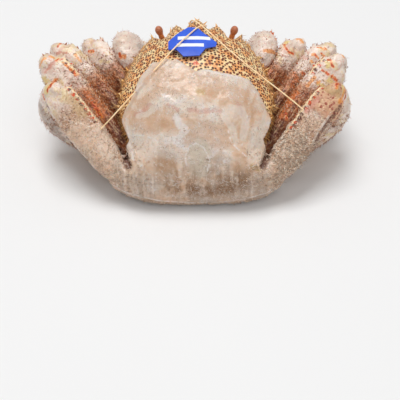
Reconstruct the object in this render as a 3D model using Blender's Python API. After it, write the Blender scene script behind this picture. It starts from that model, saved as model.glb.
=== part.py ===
"""A boiled horsehair crab, iced and tied, with its legs folded up against its sides.

X runs across the crab, +Y towards its face and +Z up. Sizes below are in millimetres, and at() turns them to
metres. Places on the body are given in the body's own frame, which tilts head up; places along the legs are
given over the floor, measured from the point below the middle of the body.
"""

import math
import random

import bmesh
import bpy
from mathutils import Matrix, Vector, geometry
from mathutils.bvhtree import BVHTree

MM = 0.001
GAP = 0.35

BODY_HEIGHT = 68.0
BODY_TILT = math.radians(20.0)

# Half of the carapace's edge seen from above, from the tip of the rostrum to the middle of the rear: x, y, z.
EDGE = [
    (0.0, 77.0, 6.0),
    (5.5, 73.0, 6.0),
    (10.5, 66.5, 4.5),
    (17.0, 70.5, 5.5),
    (22.5, 67.0, 4.5),
    (27.0, 59.5, 3.0),
    (33.5, 57.5, 2.0),
    (38.5, 60.5, 2.5),
    (44.5, 53.0, 1.0),
    (52.0, 42.0, 0.5),
    (58.5, 28.0, 0.0),
    (63.0, 12.0, 0.0),
    (64.5, -4.0, 0.0),
    (62.5, -20.0, -1.0),
    (57.0, -36.0, -3.0),
    (47.5, -50.0, -6.0),
    (33.0, -59.5, -9.0),
    (16.0, -62.5, -10.0),
    (0.0, -63.0, -10.0),
]
SHELL_CENTRE = Vector((0.0, -2.0, 0.0))
DOME_HEIGHT = 27.0
DOME_RINGS = [0.965, 0.89, 0.78, 0.65, 0.50, 0.33, 0.14]
# Rings of the shell's underside: share of the edge, drop below it, and the share of the edge's own height kept.
UNDER_RINGS = [(0.985, 4.0), (0.93, 9.5), (0.84, 16.0)]
SHELL_FLOOR = -19.5

# Swellings of the back: x, y, radius along x and y, height.
SWELLINGS = [
    (0.0, 30.0, 20.0, 16.0, 2.2),
    (0.0, -18.0, 11.0, 14.0, 2.0),
    (33.0, -8.0, 15.0, 22.0, 2.4),
    (37.0, 24.0, 12.0, 11.0, 1.4),
    (0.0, 2.0, 22.0, 11.0, -0.5),
    (17.0, -16.0, 4.0, 18.0, -1.2),
]

# Marginal spines: place along EDGE as point index, length.
EDGE_SPINES = [
    (1.2, 3.5), (3.1, 3.5), (7.05, 5.0), (8.3, 3.4), (9.2, 5.2), (10.1, 4.2), (10.8, 5.2), (11.6, 6.4),
    (12.35, 4.6),
]

SIDES = {"R": 1.0, "L": -1.0}
# How much further out the left limbs reach at some of their joints, counted from the body.
LEFT_SPREAD = {
    "2": {2: 1.05, 3: 1.05},
    "3": {2: 1.05, 3: 1.05},
    "4": {2: 1.05, 3: 1.05},
    "5": {2: 1.025, 3: 1.03},
    "claw": {1: 1.05, 2: 1.05},
}

# Walking legs, right side: places over the floor of base, merus root, knee, wrist, ankle and tip. Each ankle is
# then set to the height at which its leg reaches this far below the floor, where it is cut flat.
FOOT_DEPTH = 0.9
WALKING = {
    "2": [(42, 18, 42), (57, 21, 46), (92, 78, 65), (90, 91, 30), (46, 84, 7), (12, 74, 13)],
    "3": [(43, -2, 34), (62, 0, 40), (115, 54, 76), (109, 68, 40), (64, 57, 7), (24, 47, 14)],
    "4": [(42, -25, 28), (63, -24, 35), (119, 26, 83), (117, 40, 46), (74, 30, 7), (33, 21, 15)],
    "5": [(38, -46, 22), (65, -51, 28), (114, -6, 77), (126, 7, 38), (86, 0, 7), (42, -7, 16)],
}
# Which way each merus's spiny upper edge points, at its root and at its knee.
MERUS_UP = {
    "2": [(-0.55, -0.1, 0.83), (-0.70, 0.10, 0.70)],
    "3": [(-0.62, 0.05, 0.78), (-0.72, 0.28, 0.62)],
    "4": [(-0.66, 0.22, 0.70), (-0.74, 0.38, 0.54)],
    "5": [(-0.70, 0.42, 0.56), (-0.74, 0.47, 0.47)],
}
# Shape tables, from root to tip: place along the piece, height, thickness.
COXA_SHAPE = [(0.0, 18, 17), (0.50, 17, 16), (0.62, 18, 17), (0.88, 18, 16), (1.0, 13, 11)]
MERUS_SHAPE = [
    (0.0, 16, 12), (0.06, 22, 15), (0.22, 26, 16), (0.45, 28.5, 16.5), (0.68, 29.5, 17), (0.85, 28.5, 17),
    (0.95, 25.5, 16), (1.0, 17, 12),
]
CARPUS_SHAPE = [(-0.20, 9, 8), (-0.08, 18, 13), (0.20, 24, 16.5), (0.60, 25, 17), (0.88, 22, 15), (1.0, 16, 11)]
PROPODUS_SHAPE = [(-0.04, 12, 9), (0.07, 20, 13.5), (0.35, 21.5, 14), (0.88, 17.5, 12.5), (1.0, 12, 9)]
DACTYL_SHAPE = [(-0.02, 8, 7), (0.08, 12, 9), (0.40, 9.8, 7.5), (0.80, 5.8, 5), (1.0, 1.6, 1.6)]

# Spines along the upper edge of each piece: count, first and last place along it, length.
MERUS_SPINES = (8, 0.24, 0.95, 4.6)
CARPUS_SPINES = (4, 0.12, 0.88, 4.2)
PROPODUS_SPINES = (4, 0.12, 0.80, 3.2)

# Claws, right side: places over the floor of base, elbow, wrist, root of the fingers and their tips.
CLAW = [(46, 37, 50), (63, 68, 73), (53, 89, 58), (27, 95, 32), (12, 88, 9)]
ARM_SHAPE = [(0.0, 17, 16), (0.26, 19, 18), (0.40, 23, 22), (0.72, 27, 25), (0.92, 26, 22), (1.0, 18, 15)]
CLAW_CARPUS_SHAPE = [(-0.28, 14, 12), (-0.05, 25, 22), (0.32, 30, 25), (0.75, 28, 23), (1.0, 18, 15)]
PALM_SHAPE = [(-0.06, 15, 13), (0.06, 23, 18), (0.32, 28, 20), (0.65, 29, 20), (0.90, 27, 18), (1.0, 21, 14)]
FINGER_SHAPE = [(-0.10, 11, 9), (0.10, 12.5, 10.5), (0.45, 10.5, 9), (0.75, 7.5, 7), (0.92, 4.5, 4.5), (1.0, 1.8, 1.8)]
FINGER_SPREAD = 7.6
ARM_SPINES = (4, 0.45, 0.92, 4.0)
CLAW_CARPUS_SPINES = (4, 0.05, 0.90, 5.4)
PALM_SPINES = (4, 0.15, 0.85, 4.4)

BAND_RADIUS = 1.0
TAG_THICKNESS = 1.0

COLOURS = {
    "shell": ((0.72, 0.42, 0.26), 0.55),
    "leg_shell": ((0.62, 0.43, 0.33), 0.5),
    "belly": ((0.80, 0.62, 0.46), 0.55),
    "eye": ((0.16, 0.07, 0.04), 0.25),
    "ice": ((0.80, 0.73, 0.67), 0.3),
    "band": ((0.90, 0.66, 0.42), 0.45),
    "tag": ((0.07, 0.20, 0.72), 0.35),
}


def at(x, y, z):
    """A place in metres from millimetres."""
    return Vector((x, y, z)) * MM


BODY = Matrix.Translation(at(0, 0, BODY_HEIGHT)) @ Matrix.Rotation(BODY_TILT, 4, "X")


def on_body(x, y, z):
    """A place given in millimetres in the body's frame, in metres over the floor."""
    return BODY @ at(x, y, z)


def clear_scene():
    """Removes every object, so that the model starts from nothing."""
    for obj in list(bpy.data.objects):
        bpy.data.objects.remove(obj)


def material(name):
    """The material of that name, made on its first use."""
    found = bpy.data.materials.get(name)
    if found:
        return found
    colour, roughness = COLOURS[name]
    made = bpy.data.materials.new(name)
    made.use_nodes = True
    shader = made.node_tree.nodes["Principled BSDF"]
    shader.inputs["Base Color"].default_value = (*colour, 1.0)
    shader.inputs["Roughness"].default_value = roughness
    shader.inputs["Metallic"].default_value = 0.0
    made.diffuse_color = (*colour, 1.0)
    return made


def mesh_object(name, points, faces, finish):
    """A new object with this mesh, its faces turned outwards."""
    mesh = bpy.data.meshes.new(name)
    mesh.from_pydata([tuple(p) for p in points], [], faces)
    bm = bmesh.new()
    bm.from_mesh(mesh)
    bmesh.ops.recalc_face_normals(bm, faces=bm.faces)
    bmesh.ops.triangulate(bm, faces=bm.faces)
    bm.to_mesh(mesh)
    bm.free()
    obj = bpy.data.objects.new(name, mesh)
    bpy.context.scene.collection.objects.link(obj)
    mesh.materials.append(material(finish))
    return obj


def skin(rings):
    """Points and faces of a closed skin through rings of equal count, each end closed by a fan."""
    count = len(rings[0])
    points = [p for ring in rings for p in ring]
    faces = []
    for i in range(len(rings) - 1):
        for k in range(count):
            a, b = i * count + k, i * count + (k + 1) % count
            faces.append((a, b, b + count, a + count))
    for ring, start in ((rings[0], 0), (rings[-1], (len(rings) - 1) * count)):
        points.append(sum(ring, Vector()) / count)
        hub = len(points) - 1
        faces += [(start + k, start + (k + 1) % count, hub) for k in range(count)]
    return points, faces


def keep_largest(obj, flatness=1.2):
    """Leaves only the largest closed surface of a mesh, with faces that lie flat to each other joined."""
    bm = bmesh.new()
    bm.from_mesh(obj.data)
    bmesh.ops.remove_doubles(bm, verts=bm.verts, dist=1e-6)
    unseen = set(bm.faces)
    groups = []
    while unseen:
        group, edge_of_search = set(), [unseen.pop()]
        while edge_of_search:
            face = edge_of_search.pop()
            group.add(face)
            for edge in face.edges:
                for near in edge.link_faces:
                    if len(edge.link_faces) == 2 and near in unseen:
                        unseen.discard(near)
                        edge_of_search.append(near)
        groups.append(group)
    largest = max(groups, key=lambda faces: sum(f.calc_area() for f in faces))
    scraps = [f for group in groups if group is not largest for f in group]
    bmesh.ops.delete(bm, geom=scraps, context="FACES")
    bmesh.ops.dissolve_limit(bm, angle_limit=math.radians(flatness), verts=bm.verts, edges=bm.edges)
    bmesh.ops.triangulate(bm, faces=bm.faces)
    bm.to_mesh(obj.data)
    bm.free()


def combine(obj, others, operation):
    """Joins obj with closed meshes, or cuts them out of it, applies that and removes them."""
    if not others:
        return obj
    group = bpy.data.collections.new("operands")
    bpy.context.scene.collection.children.link(group)
    for other in others:
        for holder in list(other.users_collection):
            holder.objects.unlink(other)
        group.objects.link(other)
    modifier = obj.modifiers.new("Boolean", "BOOLEAN")
    modifier.operation = operation
    modifier.operand_type = "COLLECTION"
    modifier.collection = group
    modifier.solver = "MANIFOLD"
    graph = bpy.context.evaluated_depsgraph_get()
    graph.update()
    made = bpy.data.meshes.new_from_object(obj.evaluated_get(graph))
    obj.modifiers.clear()
    obj.data = made
    for other in list(group.objects):
        bpy.data.objects.remove(other)
    bpy.data.collections.remove(group)
    keep_largest(obj)
    return obj


def grown(obj, gap=GAP):
    """A copy of obj with its surface moved out by the gap."""
    mesh = obj.data.copy()
    bm = bmesh.new()
    bm.from_mesh(mesh)
    bm.normal_update()
    shift = [(v, v.co + v.normal * gap * MM * min(v.calc_shell_factor(), 1.6)) for v in bm.verts]
    for vertex, place in shift:
        vertex.co = place
    bm.to_mesh(mesh)
    bm.free()
    copy = bpy.data.objects.new("grown", mesh)
    bpy.context.scene.collection.objects.link(copy)
    return copy


def corners(obj):
    """Lowest and highest corner of a mesh."""
    points = [v.co for v in obj.data.vertices]
    low = Vector([min(p[i] for p in points) for i in range(3)])
    high = Vector([max(p[i] for p in points) for i in range(3)])
    return low, high


def near_each_other(a, b):
    """True where the boxes of two meshes come within the gap."""
    (low_a, high_a), (low_b, high_b) = corners(a), corners(b)
    return all(low_a[i] - GAP * MM < high_b[i] and low_b[i] - GAP * MM < high_a[i] for i in range(3))


def tree_of(obj):
    """A search tree of a mesh's faces."""
    return BVHTree.FromPolygons([v.co for v in obj.data.vertices], [p.vertices[:] for p in obj.data.polygons])


def fit_clear(obj, others):
    """Cuts obj back from each of these that it touches, with the gap between them."""
    for other in others:
        if not near_each_other(obj, other):
            continue
        cutter = grown(other)
        if tree_of(obj).overlap(tree_of(cutter)):
            combine(obj, [cutter], "DIFFERENCE")
        else:
            bpy.data.objects.remove(cutter)


def spine(root, direction, length, radius, lean=None, sides=4):
    """A tapered spine, its root sunk by its own radius, its tip leaning a little if it is long."""
    direction = direction.normalized()
    across = direction.orthogonal().normalized()
    other = direction.cross(across)
    bend = (lean.normalized() * length * 0.22) if lean else Vector()
    rings = []
    long_one = length > 4.4 * MM
    for share, size in (((0.0, 1.0), (0.55, 0.62)) if long_one else ((0.0, 1.0),)):
        centre = root + direction * (length * share - radius * 1.1 * (share == 0.0)) + bend * share * share
        rings.append([
            centre + (across * math.cos(a) + other * math.sin(a)) * radius * size
            for a in (2 * math.pi * k / sides for k in range(sides))
        ])
    tip = root + direction * length + bend
    points = [p for ring in rings for p in ring] + [tip]
    faces = [tuple(range(sides))]
    upper = (len(rings) - 1) * sides
    for k in range(sides):
        n = (k + 1) % sides
        if long_one:
            faces.append((k, n, n + sides, k + sides))
        faces.append((k + upper, n + upper, upper + sides))
    return mesh_object("spine", points, faces, "shell")


def smooth_through(points, steps):
    """Points on a smooth curve through these, which keeps them, with that many steps to a span."""
    made = []
    for i in range(len(points) - 1):
        before = points[max(i - 1, 0)]
        start, end = points[i], points[i + 1]
        after = points[min(i + 2, len(points) - 1)]
        for k in range(steps):
            t = k / steps
            made.append(0.5 * (
                2 * start + (end - before) * t + (2 * before - 5 * start + 4 * end - after) * t * t
                + (3 * start - before - 3 * end + after) * t ** 3
            ))
    return made + [points[-1].copy()]


def carapace_edge():
    """The whole edge of the carapace in the body's frame, in millimetres, running round from the rostrum."""
    right = smooth_through([Vector(p) for p in EDGE], 2)
    left = [Vector((-p.x, p.y, p.z)) for p in reversed(right[1:-1])]
    return right + left


def swelling(x, y):
    """How far the back's swellings and furrows raise it at a place."""
    total = 0.0
    for cx, cy, rx, ry, height in SWELLINGS:
        for side in ((1, -1) if cx else (1,)):
            total += height * math.exp(-((x - side * cx) / rx) ** 2 - ((y - cy) / ry) ** 2)
    return total


def dome(edge_point, even_point, share):
    """A place on the back, that share of the way from its middle to the edge, whose notches fade inwards."""
    notched = max(share - 0.80, 0.0) / 0.20
    edge_point = even_point.lerp(edge_point, notched)
    place = SHELL_CENTRE.lerp(edge_point, share)
    rise = DOME_HEIGHT * (1 - share ** 2.1) ** 0.72
    z = edge_point.z * share ** 3 + rise + swelling(place.x, place.y) * (1 - share ** 6)
    return Vector((place.x, place.y, z))


def make_carapace():
    """The shell of the back, from its domed top round its edge to the flat that the thorax meets."""
    edge = carapace_edge()
    count, even = len(edge), list(edge)
    for _ in range(10):
        even = [(even[i - 1] + even[i] * 2 + even[(i + 1) % count]) / 4 for i in range(count)]
    rings = []
    for share, drop in reversed(UNDER_RINGS):
        rings.append([
            Vector((*SHELL_CENTRE.lerp(p, share).xy, max(p.z - drop, SHELL_FLOOR + 1.0))) for p in edge
        ])
    floor = [Vector((*SHELL_CENTRE.lerp(p, 0.79).xy, SHELL_FLOOR)) for p in edge]
    rings = [floor] + rings + [edge]
    rings += [[dome(p, q, share) for p, q in zip(edge, even)] for share in DOME_RINGS]
    rings = [[BODY @ (p * MM) for p in ring] for ring in rings]
    body = mesh_object("carapace", *skin(rings), "shell")
    spines = []
    for place, length in EDGE_SPINES:
        i = int(place)
        for side in SIDES.values():
            low, high = Vector(EDGE[i]), Vector(EDGE[i + 1])
            root = low.lerp(high, place - i)
            along = (high - low).normalized()
            out = Vector((-along.y, along.x, 0.0))
            if out.dot(root - SHELL_CENTRE) < 0:
                out = -out
            out = (out - along * 0.55 + Vector((0, 0, 0.35))).normalized()
            flip = Vector((side, 1, 1))
            spines.append(spine(
                BODY @ (root * flip * MM) - (BODY.to_3x3() @ (out * flip)) * 0.6 * MM,
                BODY.to_3x3() @ (out * flip), length * MM, 1.9 * MM,
            ))
    return combine(body, spines, "UNION")


def superellipse(angle, power):
    """The unit superellipse's two coordinates at an angle."""
    c, s = math.cos(angle), math.sin(angle)
    return math.copysign(abs(c) ** (2 / power), c), math.copysign(abs(s) ** (2 / power), s)


class Limb:
    """A straight or slightly bowed piece between two joints, tall along one direction and thinner across it."""

    def __init__(self, start, end, up_start, up_end, shape, bow=(0, 0, 0), sides=10):
        """Keeps the axis in metres and the table of (place, height, thickness) in millimetres."""
        self.start, self.end = Vector(start) * MM, Vector(end) * MM
        self.axis = self.end - self.start
        self.ups = (Vector(up_start), Vector(up_end))
        self.shape, self.bow, self.sides = shape, Vector(bow) * MM, sides

    def centre(self, place):
        """The point of the axis at a share of its length."""
        inside = min(max(place, 0.0), 1.0)
        return self.start + self.axis * place + self.bow * math.sin(math.pi * inside)

    def frame(self, place):
        """The directions of height and of thickness there."""
        up = self.ups[0].normalized().lerp(self.ups[1].normalized(), min(max(place, 0.0), 1.0))
        forward = self.axis.normalized()
        up = (up - forward * up.dot(forward)).normalized()
        return up, forward.cross(up)

    def size(self, place):
        """Height and thickness there, in metres."""
        table = self.shape
        if place <= table[0][0]:
            return table[0][1] * MM, table[0][2] * MM
        for (a, h0, w0), (b, h1, w1) in zip(table, table[1:]):
            if place <= b:
                t = (place - a) / (b - a)
                return (h0 + (h1 - h0) * t) * MM, (w0 + (w1 - w0) * t) * MM
        return table[-1][1] * MM, table[-1][2] * MM

    def ring(self, place):
        """The outline across the piece there."""
        up, side = self.frame(place)
        height, thickness = self.size(place)
        points = []
        for k in range(self.sides):
            tall, wide = superellipse(2 * math.pi * k / self.sides, 2.35)
            crest = 1.0 - 0.20 * max(tall, 0.0) ** 2
            points.append(self.centre(place) + up * tall * height / 2 + side * wide * crest * thickness / 2)
        return points

    def mesh(self, name, finish="leg_shell"):
        """The piece as a mesh object."""
        return mesh_object(name, *skin([self.ring(row[0]) for row in self.shape]), finish)

    def spines(self, plan, rng, radius=1.25):
        """A row of spines along the upper edge: count, first and last place, length."""
        count, first, last, length = plan
        made = []
        for i in range(count):
            place = first + (last - first) * i / (count - 1)
            up, side = self.frame(place)
            height = self.size(place)[0]
            lean = side * rng.uniform(-0.35, 0.35)
            root = self.centre(place) + up * (height / 2 - 0.55 * MM) + side * rng.uniform(-1.0, 1.0) * MM
            reach = length * rng.uniform(0.8, 1.15) * MM
            made.append(spine(root, up + lean + self.axis.normalized() * 0.45, reach, radius * MM))
        return made


def turn(before, here, after):
    """The outer side of the bend between two directions given by three joints."""
    a, b = (here - before).normalized(), (after - here).normalized()
    return a - b


class Model:
    """Every node made so far, each new one cut back from those that it touches."""

    def __init__(self):
        """Starts with no nodes."""
        self.nodes = []

    def place(self, obj):
        """Adds a node after cutting it clear of the others."""
        fit_clear(obj, self.nodes)
        self.nodes.append(obj)
        return obj


def mirrored(point, side, spread=1.0):
    """A place or direction of the right side taken to this side."""
    x, y, z = point
    return Vector((x * side * (spread if side < 0 else 1.0), y, z))


def make_thorax():
    """The body's underside, which carries the legs, its top flat against the carapace."""
    rings = []
    for z, share in ((-36.0, 0.55), (-34.5, 0.72), (-31.0, 0.86), (-26.0, 0.95), (SHELL_FLOOR - GAP, 1.0)):
        ring = []
        for k in range(28):
            wide, long = superellipse(2 * math.pi * k / 28, 2.7)
            ring.append(on_body(wide * 46.0 * share, -6.0 + long * 57.0 * share, z))
        rings.append(ring)
    return mesh_object("thorax", *skin(rings), "belly")


def make_abdomen():
    """The tail flap, which leaves the body under the shell's rear edge and lies folded on the belly."""
    path = smooth_through([Vector((0, y, z)) for y, z in (
        (-58, -22), (-67, -23), (-71, -29), (-67, -37.5), (-50, -40.5), (-20, -40.5), (8, -39.5), (20, -38.8),
    )], 3)
    widths = [16, 17, 18, 17, 15.5, 13.5, 10.5, 5.0]
    rings = []
    for i, point in enumerate(path):
        before, after = path[max(i - 1, 0)], path[min(i + 1, len(path) - 1)]
        forward = (after - before).normalized()
        out = Vector((0, forward.z, -forward.y))
        span = i / 3
        low = min(int(span), len(widths) - 2)
        half = widths[low] + (widths[low + 1] - widths[low]) * (span - low)
        groove = 0.72 if i % 3 == 0 and 0 < i < len(path) - 1 else 1.0
        ring = []
        for k in range(12):
            wide, deep = superellipse(2 * math.pi * k / 12, 2.6)
            ring.append(BODY @ ((point + Vector((1, 0, 0)) * wide * half * (0.97 if groove < 1 else 1.0)
                                 + out * deep * 2.3 * groove) * MM))
        rings.append(ring)
    return mesh_object("abdomen", *skin(rings), "belly")


def make_eye(side):
    """An eye on its short stalk in the notch of the shell's front edge."""
    root, top = Vector((30.0 * side, 61.0, -1.0)), Vector((33.5 * side, 63.0, 13.0))
    table = [(0.0, 2.2), (0.12, 2.7), (0.34, 2.5), (0.46, 2.4), (0.60, 3.3), (0.78, 3.8), (0.94, 3.1), (1.04, 1.5)]
    axis = top - root
    across = axis.orthogonal().normalized()
    other = axis.normalized().cross(across)
    rings = []
    for place, radius in table:
        rings.append([
            BODY @ ((root + axis * place + (across * math.cos(a) + other * math.sin(a)) * radius) * MM)
            for a in (2 * math.pi * k / 9 for k in range(9))
        ])
    return mesh_object("eye", *skin(rings), "eye")


def make_feeler(side):
    """An antenna, from its thick root beside the rostrum to its fine tip."""
    path = smooth_through([Vector((x * side, y, z)) for x, y, z in (
        (11.0, 63.0, -8.0), (17.0, 68.0, -9.0), (25.0, 69.0, -11.0), (34.0, 66.0, -13.0), (43.0, 61.0, -15.5),
    )], 2)
    rings = []
    for i, point in enumerate(path):
        before, after = path[max(i - 1, 0)], path[min(i + 1, len(path) - 1)]
        forward = (after - before).normalized()
        across = forward.cross(Vector((0, 0, 1))).normalized()
        other = across.cross(forward)
        radius = 2.1 - 1.55 * (i / (len(path) - 1)) ** 0.6
        rings.append([
            BODY @ ((point + (across * math.cos(a) + other * math.sin(a)) * radius) * MM)
            for a in (2 * math.pi * k / 6 for k in range(6))
        ])
    return mesh_object("antenna", *skin(rings), "shell")


def make_maxilliped(side):
    """An outer mouth plate with its folded palp."""
    plate = Limb(
        on_body(8.0 * side, 56.5, -20.5) / MM, on_body(7.0 * side, 55.0, -39.0) / MM,
        BODY.to_3x3() @ Vector((1, 0, 0)), BODY.to_3x3() @ Vector((1, 0, 0)),
        [(0.0, 9, 3.5), (0.06, 11.5, 4.6), (0.48, 12.5, 5.2), (0.53, 11.2, 4.4), (0.60, 11.8, 5.0), (0.95, 8, 4), (1.0, 6, 3)],
        sides=10,
    ).mesh("maxilliped", "belly")
    palp = Limb(
        on_body(10.5 * side, 60.0, -23.5) / MM, on_body(4.0 * side, 59.5, -33.0) / MM,
        BODY.to_3x3() @ Vector((1, 0, 0)), BODY.to_3x3() @ Vector((1, 0, 0)),
        [(-0.05, 2.6, 3.4), (0.1, 3.8, 4.2), (0.8, 3.2, 3.8), (1.0, 1.8, 2.6)], sides=8,
    ).mesh("palp", "belly")
    return combine(plate, [palp], "UNION")


def make_leg(model, number, letter, rng):
    """The five pieces of a walking leg, from the one at the body to the claw-like last one."""
    side = SIDES[letter]
    joints = [
        mirrored(p, side, LEFT_SPREAD[number].get(i, 1.0))
        for i, p in enumerate(WALKING[number])
    ]
    base, root, knee, wrist, ankle, tip = joints
    ups = [mirrored(p, side) for p in MERUS_UP[number]]
    for _ in range(3):
        wrist_turn, ankle_turn = turn(knee, wrist, ankle), turn(wrist, ankle, tip)
        propodus = Limb(wrist, ankle, wrist_turn, wrist_turn + ankle_turn, PROPODUS_SHAPE, wrist_turn * 1.5)
        lowest = min(p.z for row in PROPODUS_SHAPE for p in propodus.ring(row[0])) / MM
        ankle = ankle - Vector((0, 0, lowest + FOOT_DEPTH))
    knee_turn = turn(root, knee, wrist)
    merus = Limb(root, knee, *ups, MERUS_SHAPE, sides=12)
    coxa = Limb(base, root, (0, 0, 1), ups[0], COXA_SHAPE)
    carpus = Limb(knee, wrist, knee_turn, knee_turn + wrist_turn * 1.5, CARPUS_SHAPE, knee_turn * 1.2)
    dactyl = Limb(ankle, tip, ankle_turn, ankle_turn, DACTYL_SHAPE, ankle_turn * -1.0, sides=8)
    plans = {
        "merus": (merus, MERUS_SPINES), "coxa": (coxa, None), "carpus": (carpus, CARPUS_SPINES),
        "propodus": (propodus, PROPODUS_SPINES), "dactyl": (dactyl, None),
    }
    for part, (limb, plan) in plans.items():
        body = limb.mesh(f"leg{number}_{part}_{letter}")
        if plan:
            combine(body, limb.spines(plan, rng), "UNION")
        model.place(body)


def make_claw(model, letter, rng):
    """The four pieces of a claw arm, folded in front of the mouth."""
    side = SIDES[letter]
    joints = [mirrored(p, side, LEFT_SPREAD["claw"].get(i, 1.0)) for i, p in enumerate(CLAW)]
    base, elbow, wrist, knuckle, tip = joints
    elbow_turn, wrist_turn = turn(base, elbow, wrist), turn(elbow, wrist, knuckle)
    palm_turn = wrist_turn + turn(wrist, knuckle, tip) * 0.5
    arm = Limb(base, elbow, (-0.4 * side, -0.5, 0.8), elbow_turn, ARM_SHAPE)
    carpus = Limb(elbow, wrist, elbow_turn, elbow_turn + wrist_turn, CLAW_CARPUS_SHAPE, elbow_turn * 2.0)
    palm = Limb(wrist, knuckle, wrist_turn, palm_turn, PALM_SHAPE)
    up = palm.frame(1.0)[0]
    fingers = []
    for spread in (-1.0, 1.0):
        root = knuckle + up * FINGER_SPREAD * spread
        fingers.append(Limb(
            root, tip + up * 1.5 * spread, up * spread, up * spread, FINGER_SHAPE, up * 2.4 * spread, sides=8,
        ))
    plans = {
        "arm": (arm, ARM_SPINES), "carpus": (carpus, CLAW_CARPUS_SPINES), "palm": (palm, PALM_SPINES),
        "finger": (fingers[1], None),
    }
    for part, (limb, plan) in plans.items():
        body = limb.mesh(f"claw_{part}_{letter}")
        extra = limb.spines(plan, rng, 1.5) if plan else []
        if part == "palm":
            extra.append(fingers[0].mesh("fixed_finger"))
        model.place(combine(body, extra, "UNION"))


# The tag's outline on its plane, in the body's frame: x, y.
TAG_OUTLINE = [
    (-7.2, 57.6), (0.9, 56.8), (4.6, 50.8), (16.9, 37.6), (16.3, 32.8), (7.7, 29.5), (2.4, 20.9), (-10.6, 20.1),
    (-16.5, 28.0), (-23.3, 28.7), (-23.6, 38.5), (-16.8, 47.6),
]
TAG_CENTRE = (-3.5, 38.0)
TAG_HEIGHT = 26.4
TAG_SLOPE = -0.27
TAG_BEND = 0.0045


def make_tag():
    """The plain plastic tag that lies on the front of the back, bent a little over it."""
    rings = []
    for lift, share in ((0.0, 0.5), (0.0, 1.0), (TAG_THICKNESS, 1.0), (TAG_THICKNESS, 0.5)):
        ring = []
        for x, y in TAG_OUTLINE:
            across, along = (x - TAG_CENTRE[0]) * share, (y - TAG_CENTRE[1]) * share
            height = TAG_HEIGHT + TAG_SLOPE * along - TAG_BEND * (across * across + along * along) + lift
            ring.append(on_body(TAG_CENTRE[0] + across, TAG_CENTRE[1] + along, height))
        rings.append(ring)
    return mesh_object("tag", *skin(rings), "tag")


# The front edge of the ice on the back: x, y in the body's frame.
ICE_FRONT = [
    (-66, -26), (-60, -14), (-55, -8), (-50, 5), (-45, 18), (-40, 27), (-30, 28), (-20, 26), (-12, 18), (-5, 12),
    (0, 8), (6, 11), (12, 10), (20, 8), (30, 7), (38, 6.5), (45, 6), (51, 0), (55, -8), (60, -16), (66, -26),
]
ICE_CENTRE = Vector((0.0, -24.0, 0.0))
ICE_DEPTH = 2.5
ICE_RINGS = [1.0, 0.985, 0.95, 0.88, 0.78, 0.65, 0.50, 0.34, 0.18, 0.03]


def half_width(y):
    """Half of the carapace's width at a place along it."""
    widest = 0.0
    for a, b in zip(EDGE, EDGE[1:]):
        if min(a[1], b[1]) <= y <= max(a[1], b[1]) and a[1] != b[1]:
            widest = max(widest, a[0] + (b[0] - a[0]) * (y - a[1]) / (b[1] - a[1]))
    return widest


def skirt_height(x, y):
    """Height of the ice that hangs over the rear, in the body's frame."""
    full = (abs(x) / 94.0) ** 3.8 + (max(-y, 0.0) / 84.0) ** 2.5
    height = -40.0 + 59.0 * math.sqrt(max(1.0 - full, 0.0))
    shoulder = -1.0 - 0.62 * (abs(x) - 47.0)
    near = max(5.0 - abs(height - shoulder), 0.0) / 5.0
    return min(height, shoulder) - near * near * 1.25


def ice_outline():
    """The edge of the ice seen along the body's height: points x, y, height of its underside and thickness."""
    points = []
    for x, y in ICE_FRONT[1:-1]:
        points.append((x, y, -6.0, 0.55))
    for y in (-24, -32, -40):
        points.append((half_width(y) + 1.6, y, 1.5 + (y + 24) * 0.25, 0.8))
    for x, y, z in ((60, -47, -14), (68, -49.5, -22), (75, -54, -31), (77, -60, -35.5), (72, -67.5, -37),
                    (61, -74.5, -38), (47, -79.5, -38), (32, -82, -38), (16, -83, -38), (0, -83.2, -38)):
        points.append((x, y, z, 1.0))
    left = [(-x, y, z, t) for x, y, z, t in points[len(ICE_FRONT) - 2:-1]]
    return points + left[::-1]


def make_glaze(model, carapace):
    """The sheet of ice over the rear of the back and the legs' roots."""
    tree = tree_of(carapace)
    down = BODY.to_3x3() @ Vector((0, 0, -1))

    def top(x, y, thin):
        """Height of the ice's outer side in the body's frame."""
        shell = -60.0
        for inward in range(8):
            place = ICE_CENTRE.lerp(Vector((x, y, 0)), 1.0 - 0.012 * inward)
            hit = tree.ray_cast(on_body(place.x, place.y, 60.0), down)[0]
            if hit:
                shell = (BODY.inverted() @ hit).z / MM + ICE_DEPTH * thin - 0.5 * inward
                shell += 1.1 * math.exp(-(x / 11.0) ** 2 - ((y + 54.0) / 13.0) ** 2)
                break
        skirt = skirt_height(x, y)
        high, low = max(shell, skirt), min(shell, skirt)
        blend = max(4.0 - (high - low), 0.0) / 4.0
        return high + blend * blend * 1.0

    outline = ice_outline()
    upper, lower = [], []
    for share in ICE_RINGS:
        ring = []
        for x, y, z, thin in outline:
            place = ICE_CENTRE.lerp(Vector((x, y, 0)), share)
            thickness = thin + (1.0 - thin) * min((1.0 - share) / 0.12, 1.0)
            height = top(place.x, place.y, thickness)
            if share > 0.8:
                height = max(height - (0.9 if share == 1.0 else 0.0), z + 1.2 + (1.0 - share) * 40.0)
            ring.append(on_body(place.x, place.y, height))
        upper.append(ring)
    for share, drop, deep in ((0.80, 0.0, 1.0), (0.93, 0.5, 0.6), (0.985, 0.0, 0.0)):
        ring = []
        for x, y, z, thin in outline:
            place = ICE_CENTRE.lerp(Vector((x, y, 0)), share)
            ring.append(on_body(place.x, place.y, min(z, z + (-8.0 - z) * deep) - drop if z > -8 else z - drop))
        lower.append(ring)
    inner = [on_body(*(ICE_CENTRE.lerp(Vector((x, y, 0)), 0.5).xy), -12.0) for x, y, z, thin in outline]
    return mesh_object("glaze", *skin([inner] + lower + upper), "ice")


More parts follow.
